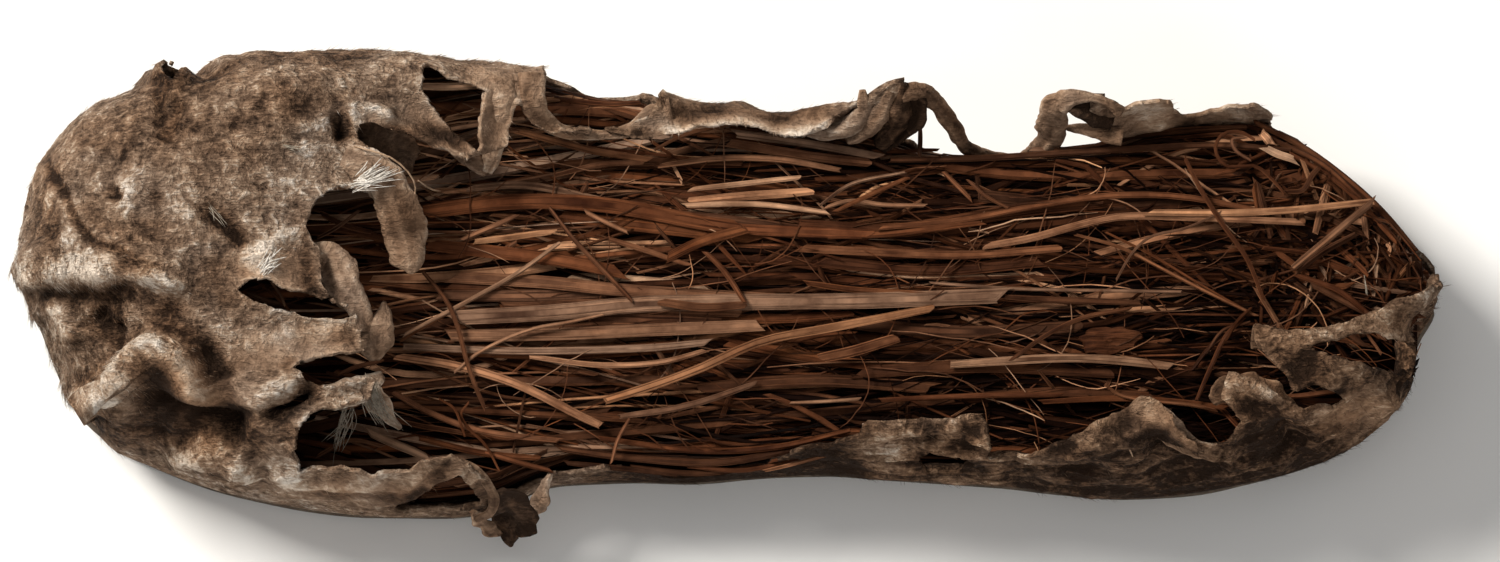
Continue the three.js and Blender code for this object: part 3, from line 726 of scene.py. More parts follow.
# Stains and bare places, and painted shadows in hollows and beside straps, and painted highlights on crests:
# picture x, y, reach across and down, darkness (pale where negative)
PATCHES = [
    (290, 105, 60, 24, 0.4), (395, 85, 20, 18, 0.12), (150, 150, 36, 30, 0.22), (110, 215, 24, 20, 0.22),
    (56, 220, 18, 44, 0.38), (310, 58, 60, 7, 0.45), (150, 312, 40, 8, 0.15), (200, 418, 60, 26, 0.75),
    (262, 432, 42, 20, 0.55), (300, 440, 18, 20, 0.6), (110, 432, 36, 16, 0.3), (90, 335, 22, 26, 0.35),
    (250, 200, 30, 30, 0.15), (385, 144, 26, 17, 0.85), (346, 130, 7, 16, 0.8), (705, 108, 60, 8, 0.5),
    (800, 116, 44, 8, 0.5), (690, 126, 30, 6, -0.4), (790, 132, 36, 5, -0.4), (880, 130, 26, 22, 0.6),
    (905, 120, 16, 22, 0.75), (1300, 452, 60, 28, 0.45), (1150, 472, 130, 18, 0.45),
    (1250, 470, 50, 20, 0.55), (1050, 470, 60, 14, 0.25), (1340, 372, 60, 22, 0.45),
    (1404, 380, 26, 30, 0.5), (1330, 430, 50, 30, 0.28), (700, 474, 150, 18, 0.85), (905, 472, 36, 8, 0.7),
    (948, 458, 40, 8, 1.0), (500, 512, 26, 26, 0.7), (1390, 440, 50, 26, 0.35), (1180, 130, 24, 14, 0.35),
    (1100, 470, 40, 16, 0.2), (120, 265, 60, 9, -0.5), (84, 392, 20, 5, -0.8), (112, 372, 22, 7, -0.9),
    (136, 348, 16, 8, -0.9), (166, 335, 16, 5, -0.6), (268, 252, 30, 14, -0.35), (215, 442, 26, 8, -0.45),
    (134, 205, 7, 26, -0.45), (895, 442, 26, 14, -0.45), (958, 437, 22, 9, -0.4), (1150, 420, 14, 7, -0.6),
    (1240, 384, 16, 8, -0.4), (1385, 318, 40, 14, -0.25), (1148, 112, 30, 14, -0.35),
    (1226, 116, 30, 10, -0.2), (90, 150, 26, 30, -0.2), (300, 365, 20, 12, -0.15), (320, 335, 50, 9, -0.2),
    (350, 160, 20, 12, -0.3), (122, 195, 10, 7, 0.6), (160, 202, 9, 9, 0.45), (262, 246, 14, 5, -0.6),
    (270, 264, 8, 9, -0.8), (32, 273, 9, 9, -0.8), (72, 263, 22, 9, -0.5), (97, 276, 14, 7, -0.5),
    (55, 208, 8, 16, -0.5), (110, 302, 70, 12, 0.22), (62, 328, 9, 22, -0.5), (108, 322, 18, 10, 0.6),
    (272, 466, 24, 8, -0.3), (300, 484, 30, 8, -0.25), (204, 449, 26, 9, -0.5), (235, 352, 22, 10, -0.15),
    (292, 386, 6, 4, -0.9), (250, 268, 20, 16, -0.15), (120, 130, 14, 22, -0.2), (212, 370, 8, 12, 0.2),
    (1180, 470, 120, 20, 0.35), (1270, 452, 28, 20, 0.45), (1350, 408, 34, 22, -0.35),
    (910, 442, 40, 12, -0.15), (920, 478, 40, 6, -0.4), (955, 462, 16, 5, 0.8), (170, 85, 42, 13, 0.5),
    (108, 135, 34, 20, 0.42), (226, 72, 42, 9, 0.42), (130, 170, 8, 18, 0.35), (92, 172, 14, 8, 0.3),
    (62, 232, 13, 18, 0.55), (160, 236, 50, 15, 0.42), (148, 270, 20, 9, 0.95), (76, 272, 18, 6, -0.9),
    (150, 352, 13, 11, 0.45), (172, 381, 12, 20, 0.65), (112, 370, 14, 12, -0.5), (312, 275, 8, 24, 0.7),
    (436, 136, 40, 12, 0.55), (430, 486, 54, 15, 0.8), (1300, 353, 26, 7, 0.7), (1310, 366, 30, 10, 0.35),
    (1350, 436, 42, 14, -0.4), (810, 470, 70, 14, 0.6), (910, 428, 60, 5, 0.35), (205, 395, 10, 12, -0.35),
    (375, 172, 14, 12, -0.5), (272, 364, 34, 24, 0.2), (260, 326, 30, 12, 0.25), (58, 200, 8, 12, -0.5),
    (102, 258, 18, 7, -0.5), (60, 340, 12, 16, -0.3), (240, 300, 14, 10, 0.25), (205, 300, 26, 10, 0.2),
    (440, 138, 40, 14, 0.35), (295, 180, 22, 18, -0.4), (304, 232, 9, 30, 0.6), (345, 340, 16, 10, 0.4),
    (294, 367, 7, 8, 0.6), (92, 400, 16, 9, 0.9), (165, 362, 14, 16, 0.55), (182, 388, 12, 16, 0.55),
    (218, 395, 14, 12, -0.55), (246, 270, 8, 20, 0.45), (116, 318, 16, 8, 0.4), (215, 335, 26, 10, -0.4),
    (34, 270, 10, 8, -0.4), (175, 86, 14, 11, 0.9), (225, 84, 22, 8, 0.4), (92, 146, 16, 10, 0.4),
    (135, 112, 24, 12, 0.4), (240, 110, 20, 9, -0.45), (200, 150, 12, 14, -0.4), (50, 210, 8, 12, -0.4),
    (1370, 322, 40, 10, -0.4), (1285, 425, 16, 24, 0.5), (968, 438, 14, 8, 0.5), (340, 486, 40, 7, 0.4),
    (425, 136, 46, 15, 0.35), (1190, 126, 90, 20, 0.35), (176, 372, 16, 22, 0.35), (360, 92, 24, 12, -0.25),
    (690, 100, 26, 7, -0.3), (1348, 420, 46, 24, -0.5), (1297, 440, 9, 22, 0.5), (1267, 337, 16, 9, -0.4),
    (1304, 344, 22, 7, 0.35), (876, 446, 9, 20, -0.5), (910, 432, 16, 8, -0.2), (384, 113, 14, 8, 0.25),
    (1400, 318, 26, 10, -0.25), (1376, 350, 20, 8, -0.3), (905, 440, 44, 13, -0.3),
    (892, 466, 30, 13, -0.5), (1060, 462, 50, 7, -0.3), (1010, 484, 40, 8, -0.35), (410, 156, 16, 12, 0.5),
    (1236, 372, 24, 8, -0.2), (1330, 352, 22, 7, 0.4), (226, 402, 14, 9, -0.4), (268, 384, 14, 10, -0.3),
    (250, 116, 16, 9, -0.35), (300, 188, 20, 12, -0.3), (258, 230, 10, 10, -0.4), (215, 212, 14, 9, -0.35),
    (34, 268, 10, 8, -0.5), (74, 275, 12, 7, -0.4), (425, 487, 50, 11, 0.4), (646, 100, 12, 11, 0.6),
    (688, 104, 16, 7, -0.35), (650, 132, 60, 6, 0.5), (806, 116, 26, 7, 0.4), (1080, 440, 40, 9, 0.5),
    (1304, 331, 20, 8, 0.45), (1240, 398, 14, 8, -0.5), (60, 178, 12, 16, 0.3), (82, 240, 12, 9, -0.35),
    (345, 340, 20, 8, 0.2), (240, 360, 9, 20, 0.3), (1191, 130, 9, 14, 0.55), (1160, 141, 40, 5, 0.4),
    (1240, 114, 20, 5, -0.3), (1150, 113, 18, 5, -0.3), (1088, 463, 26, 5, -0.35), (1160, 464, 46, 6, -0.2),
    (1190, 486, 46, 4, 0.5), (1238, 452, 12, 5, -0.5), (1274, 428, 18, 18, 0.4), (1352, 418, 42, 34, -0.35),
    (1297, 440, 8, 22, 0.4), (255, 345, 80, 50, 0.14), (95, 250, 45, 70, -0.12), (1345, 405, 50, 36, -0.2),
]
# Smooth places: picture x, y, reach across and down
CALM = [
    (420, 128, 62, 30), (300, 350, 66, 26), (1350, 410, 34, 24), (1190, 120, 100, 26), (400, 484, 130, 18),
    (1150, 422, 60, 16), (500, 110, 60, 60), (740, 118, 120, 20), (190, 390, 70, 40), (270, 270, 50, 24),
]
# Height down to which the hide is torn or cut, along the foot, on the inner and the outer side
LOW_EDGE_INNER = [
    (-140, 34), (-70, 30), (-43, 27), (-40, 20), (-36, 15.6), (-29, 13.8), (-21, 15.4), (-16, 19),
    (-11, 26), (20, 30), (30, 27), (35, 18), (40, 14.6), (48, 13.2), (60, 13), (70, 14.4), (76, 17),
    (82, 24), (98, 25), (103, 20), (108, 16.5), (114, 15), (120, 13), (127, 14.2), (132, 12.8), (137, 14),
    (143, 13.4),
]
LOW_EDGE_OUTER = [
    (-140, 30), (-75, 24), (-68, 19), (-48, 18.5), (-40, 17), (-30, 16), (-14, 18), (2, 16), (16, 17.5),
    (24, 21), (40, 24), (60, 26), (75, 28), (100, 30), (143, 30),
]

# Grid of the hide: columns over the toe and behind it, rows in the turned-in margin and above it
TOE_COLUMNS = 350
BACK_COLUMNS = 250
TOE_UP_TO = -52.0
LOW_STEPS = 9
HIGH_STEPS = 84
MARGIN_END = 0.34
SHARE_STEPS = 4000
# Noises on the hide: amount, size, seed
BEND_SIDE = (1.1, 9.0, 1)
BEND_UP = (1.1, 9.0, 2)
STAIN_SIDE = (1.0, 4.5, 21)
STAIN_UP = (1.0, 4.5, 22)
EDGE_FRAY = (0.55, 2.2, 3)
EDGE_WAVE = (0.5, 6.0, 4)
INNER_FRAY = (1.7, 8.0, 23)
TEAR_SHIFT = (3.2, 6.5, 24)
LOW_EDGE_WAVE = (1.5, 5.0, 16)
WIND_SIDE = (4.0, 11.0, 11)
WIND_UP = (4.0, 11.0, 12)
WRINKLE_PATCHES = (1.0, 24.0, 15)
BULGES = (0.8, 16.0, 5)
DENTS = (0.55, 7.0, 6)
GRAIN = (0.20, 2.4, 7)
# Ridged noises: sharpness, size, seed
WRINKLES = (2.4, 9.0, 13)
FINE_WRINKLES = (2.4, 4.2, 14)
WALL_FOLDS = (2.2, 5.0, 17)
WALL_FOLD_STRETCH = np.array([0.30, 0.8, 1.3])
PATCHY = (-0.25, 0.35)
WRINKLE_RISE = 0.55
FINE_RISE = 0.26
WALL_FOLD_RISE = 1.3
# Fold crests worn pale with a painted highlight, and painted shade in the fold valleys
WALL_FOLD_WEAR_AND_HIGHLIGHT = 0.42
WALL_FOLD_SHADE = 0.60
# Creases: how a step's face, groove and edge are drawn, and how strongly each kind is worn pale or given a
# painted highlight, or darkened by painted shade
STEP_FACE = 1.5
STEP_GROOVE = (0.22, 3.0, 2.6)  # depth as a share of the step, distance from its line, width
STEP_WEAR_AND_HIGHLIGHT = (0.07, 6, -0.6, 1.5)  # wear and painted highlight on the high edge: strength per millimetre, greatest height, distance, width
# painted shade at a step's foot, by the same columns
STEP_SHADE = (0.07, 5, 2.2, 1.6)
CUT_SHADE = (0.9, 0.8)  # painted shade down a cut: strength, width as a share of the cut's own
RIDGE_WEAR_AND_HIGHLIGHT = (0.16, 5, 0.34)  # wear and painted highlight on the crest: strength per millimetre, greatest height, width as a share
# painted shade along a trough: strength per millimetre, greatest height, width as a share
TROUGH_SHADE = (0.17, 5, 0.5)
CREASE_START = (-0.02, 0.16)  # shares of a crease's length over which it comes in, and goes out
CREASE_END = (-1.02, -0.84)
CREASE_ROUND = 1.45
CREASE_FALL = 1.7
FACING = (-0.1, 0.3)  # how far the hide must face up to be creased
# Where forms come in: shares of the way up the wall, then millimetres along, across and up
CREASED = (0.46, 0.6)
WRINKLED = (0.35, 0.55)
FOLDED = (0.42, 0.6)
DRAWN_UP_FROM = (0.28, 0.42)
DRAWN_UP_TO = (0.62, 0.85)
DRAWN_INNER_Y = (6, 22)
DRAWN_INNER_X = (-131, -122)
DRAWN_TOE_X = (112, 126)
DRAWN_HEEL_X = (118, 130)
FRAYED_Y = (12, 26)
FRAYED_Z = (-33, -25)
TORN_Z = (-30, -26)
FOLDED_X = (5, 40)
FOLDED_Y = (8, 22)
NEAR_WALL_X = (-10, 40)
NEAR_WALL_Y = (22, 34)
WAIST_FROM_X = (-24, -14)
WAIST_TO_X = (-32, -20)
WAIST_Y = (24, 30)
CUT_ABOVE = 0.42
LIP_FALL = 1.7
LIP_RISE = 1.4
LIP_WEAR = 0.2
# Painted shade where the hide sinks below its surroundings, and wear with painted highlight where it rises
RELIEF_REACH = 4
RELIEF_TONE = 0.42
MOST_RAISED = 1.2
MOST_SUNK = 1.0
HEEL_ZONE = (10, 80)  # along the foot, over which painted shade for the light's fall-off darkens the heel
OUTER_ZONE = (-12, 4)  # across it, towards the outer side
# painted shade for the light's fall-off towards the heel, on the outer side
HEEL_HIDE_PAINTED_SHADE = 0.52
NEAR_WALL_DARKER = 0.40
WAIST_DARKER = 0.6
WAIST_WEAR_LOSS = 0.9
MOST_STAIN_AND_SHADE = 1.35
STAIN_EDGE = 1.5  # how sharply stains and smooth places end
CALM_EDGE = 2
THIN_EDGE = (4.0, 0.12)  # distance over which the hide thins to its edge, and its least share
LEAST_THICKNESS = 0.35


def ring_shares():
    """Places round the shoe, closer together over the toe."""
    fine = np.arange(SHARE_STEPS) / SHARE_STEPS
    is_toe = wall_section(fine)[:, 0] < TOE_UP_TO
    density = np.where(is_toe, TOE_COLUMNS / is_toe.sum(), BACK_COLUMNS / (~is_toe).sum())
    run = np.concatenate([[0], np.cumsum(density)])
    columns = TOE_COLUMNS + BACK_COLUMNS
    return np.interp(np.arange(columns) / columns * run[-1], run, np.append(fine, 1.0))


def blur(grid, reach):
    """Mean over a square of cells, wrapping round the shoe and stopping at its rim."""
    total = sum(np.roll(grid, k, axis=0) for k in range(-reach, reach + 1)) / (2 * reach + 1)
    padded = np.pad(total, ((0, 0), (reach, reach)), mode="edge")
    return sum(padded[:, k:k + grid.shape[1]] for k in range(2 * reach + 1)) / (2 * reach + 1)


def draw_in(base, heights):
    """Moves the wall in a little where the outline is dented."""
    belly = base[:, np.argmin(np.abs(heights - 0.5))]
    x, y = belly[:, 0], belly[:, 1]
    _, v = in_plane(belly)
    amount = between(x, DRAWN_INNER) * smooth(y, *DRAWN_INNER_Y) * smooth(x, *DRAWN_INNER_X)
    amount += between(v, DRAWN_TOE) * smooth(-x, *DRAWN_TOE_X)
    amount += between(v, DRAWN_HEEL) * smooth(x, *DRAWN_HEEL_X)
    share = smooth(heights, *DRAWN_UP_FROM) * (1 - smooth(heights, *DRAWN_UP_TO))
    moved = base.copy()
    moved[..., :2] += inward_of(belly, 3)[:, None] * (amount[:, None] * share)[..., None]
    return moved


def add_creases(lift, wear_and_highlight, stain_and_shade, u, v):
    """Raises and sinks the hide along its creases, and marks what is worn pale or given a painted highlight,
    and where painted shade darkens it.
    """
    for kind, height, width, line in CREASES:
        d, side, along = line_field(u, v, line)
        taper = smooth(along, *CREASE_START) * smooth(-along, *CREASE_END)
        if kind == "step":
            across = np.where(side > 0, d, -d)
            raised = height * taper * smooth(across, -STEP_FACE, STEP_FACE)
            lift += raised * bell(np.maximum(across, 0), width)
            depth, away, wide = STEP_GROOVE
            lift -= depth * height * taper * bell(across + away, wide)
            for tone, (strength, most, away, wide) in ((wear_and_highlight, STEP_WEAR_AND_HIGHLIGHT), (stain_and_shade, STEP_SHADE)):
                tone += strength * min(height, most) * taper * bell(across + away, wide)
        elif kind == "cut":
            lift += height * taper * bell(d, width)
            stain_and_shade += CUT_SHADE[0] * taper * bell(d, CUT_SHADE[1] * width)
        else:
            lift += height * taper * (1 / (1 + (d / (0.5 * width)) ** CREASE_ROUND) ** CREASE_FALL)
            if kind != "fold":
                tone, form = (wear_and_highlight, RIDGE_WEAR_AND_HIGHLIGHT) if kind == "ridge" else (stain_and_shade, TROUGH_SHADE)
                strength, most, wide = form
                tone += strength * min(abs(height), most) * taper * bell(d, wide * width)


def hide_field(base, u, v, t):
    """Millimetres from the nearest cut or torn edge, negative where the hide is gone."""
    x, y, z = np.moveaxis(base, -1, 0)
    field = polygon_field(u, v, COLLAR)
    for hole in HOLES:
        field = np.minimum(field, polygon_field(u, v, hole))
    ragged = waver(base, *EDGE_FRAY) + waver(base, *EDGE_WAVE)
    ragged = ragged + waver(base, *INNER_FRAY) * smooth(y, *FRAYED_Y) * smooth(-z, *FRAYED_Z)
    torn_x = x + waver(base, *TEAR_SHIFT) * smooth(-z, *TORN_Z)
    low_edge = np.where(y > 0, between(torn_x, LOW_EDGE_INNER), between(x, LOW_EDGE_OUTER))
    low_edge = low_edge + waver(base, *LOW_EDGE_WAVE)
    field = np.maximum(field + ragged, low_edge - z)
    return np.where(t > CUT_ABOVE, field, np.maximum(field, 1.0))


def add_wrinkles(lift, wear_and_highlight, stain_and_shade, base, t):
    """Bulges, wrinkles and grain all over, and long folds on the outer wall, worn pale with a painted
    highlight on their crests and with painted shade in their valleys.
    """
    x, y, _ = np.moveaxis(base, -1, 0)
    bent = base + np.stack([waver(base, *WIND_SIDE), waver(base, *WIND_UP), np.zeros(x.shape)], -1)
    wrinkled = WRINKLE_RISE * crest(bent, *WRINKLES) + FINE_RISE * crest(bent, *FINE_WRINKLES)
    patchy = smooth(waver(base, *WRINKLE_PATCHES), *PATCHY)
    rough = waver(base, *BULGES) + waver(base, *DENTS) + waver(base, *GRAIN) + patchy * wrinkled
    lift += smooth(t, *WRINKLED) * rough
    fold = crest(bent * WALL_FOLD_STRETCH, *WALL_FOLDS)
    on_wall = smooth(x, *FOLDED_X) * smooth(-y, *FOLDED_Y) * smooth(t, *FOLDED)
    lift += WALL_FOLD_RISE * on_wall * fold
    wear_and_highlight += WALL_FOLD_WEAR_AND_HIGHLIGHT * on_wall * np.clip(fold, 0, 1)
    stain_and_shade += WALL_FOLD_SHADE * on_wall * np.clip(-fold, 0, 1)


def add_stains_and_shade(lift, wear_and_highlight, stain_and_shade, base, u, v):
    """Painted shade in sunk places and wear with painted highlight on raised ones, painted shade for the
    light's fall-off towards the heel, darker tones on the near wall and waist, and the stains, bare places,
    painted shadows and painted highlights of the patches. Returns how smooth the hide looks.
    """
    x, y, _ = np.moveaxis(base, -1, 0)
    relief = lift - blur(lift, RELIEF_REACH)
    wear_and_highlight += RELIEF_TONE * np.clip(relief, 0, MOST_RAISED)
    stain_and_shade += RELIEF_TONE * np.clip(-relief, 0, MOST_SUNK)
    stain_and_shade += HEEL_HIDE_PAINTED_SHADE * smooth(x, *HEEL_ZONE) * smooth(-y, *OUTER_ZONE)
    stain_and_shade += NEAR_WALL_DARKER * smooth(x, *NEAR_WALL_X) * smooth(-y, *NEAR_WALL_Y)
    waist = smooth(x, *WAIST_FROM_X) * smooth(-x, *WAIST_TO_X) * smooth(-y, *WAIST_Y)
    stain_and_shade += WAIST_DARKER * waist
    wear_and_highlight *= 1 - WAIST_WEAR_LOSS * waist
    u = u + waver(base, *STAIN_SIDE)
    v = v + waver(base, *STAIN_UP)
    for *place, darkness in PATCHES:
        tone = stain_and_shade if darkness > 0 else wear_and_highlight
        tone += abs(darkness) * blob(u, v, *place, STAIN_EDGE)
    return sum(blob(u, v, *place, CALM_EDGE) for place in CALM)


def make_upper():
    """The hide's skin, with its points, faces and tones for the hair that grows on it."""
    low = np.linspace(0, MARGIN_END, LOW_STEPS, endpoint=False)
    heights = np.concatenate([low, np.linspace(MARGIN_END, 1, HIGH_STEPS)])
    base = draw_in(wall_surface(ring_shares(), heights), heights)
    normal = unit(np.cross(np.roll(base, -1, 0) - np.roll(base, 1, 0), np.gradient(base, axis=1)))
    t = np.broadcast_to(heights, base.shape[:2])
    facing = smooth(normal[..., 2], *FACING) * smooth(t, *CREASED)
    u, v = in_plane(base)
    bent_u = u + waver(base, *BEND_SIDE)
    bent_v = v + waver(base, *BEND_UP)
    lift, wear_and_highlight, stain_and_shade = np.zeros((3, *u.shape))
    add_creases(lift, wear_and_highlight, stain_and_shade, bent_u, bent_v)
    lift *= facing
    field = hide_field(base, u, v, t)
    lip = np.exp(-np.maximum(field, 0) / LIP_FALL) * facing
    lift += LIP_RISE * lip
    wear_and_highlight += LIP_WEAR * lip
    add_wrinkles(lift, wear_and_highlight, stain_and_shade, base, t)
    calm = add_stains_and_shade(lift, wear_and_highlight, stain_and_shade, base, bent_u, bent_v)
    points = base + normal * lift[..., None]
    index = np.arange(u.size).reshape(u.shape)
    nxt = np.roll(index, -1, 0)
    a, b, c, d = index[:, :-1], nxt[:, :-1], nxt[:, 1:], index[:, 1:]
    tris = np.concatenate([np.stack(corners, -1).reshape(-1, 3) for corners in ((a, b, c), (a, c, d))])
    tones = {
        "wear_and_highlight": np.clip(wear_and_highlight, 0, 1).ravel(),
        "stain_and_shade": np.clip(stain_and_shade, 0, MOST_STAIN_AND_SHADE).ravel(),
        "calm": np.clip(calm, 0, 1).ravel(),
        "edge": np.clip(field / THIN_EDGE[0], THIN_EDGE[1], 1).ravel(),
    }
    verts, faces, tones = clip_triangles(points.reshape(-1, 3), tris, field.ravel(), tones)
    edge = tones.pop("edge")
    made = new_object("hide_upper_skin", verts, faces, HIDE_MAT, floats=tones)
    group = made.vertex_groups.new(name="thickness")
    for i, weight in enumerate(edge):
        group.add([i], float(weight), "REPLACE")
    thick = made.modifiers.new("thickness", "SOLIDIFY")
    thick.thickness = HIDE * MM
    thick.offset = -1
    thick.vertex_group = "thickness"
    thick.thickness_vertex_group = LEAST_THICKNESS
    return made, verts, faces, tones


upper, UPPER_VERTS, UPPER_FACES, UPPER_TONES = make_upper()
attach(upper, "root")
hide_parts("hide_upper")

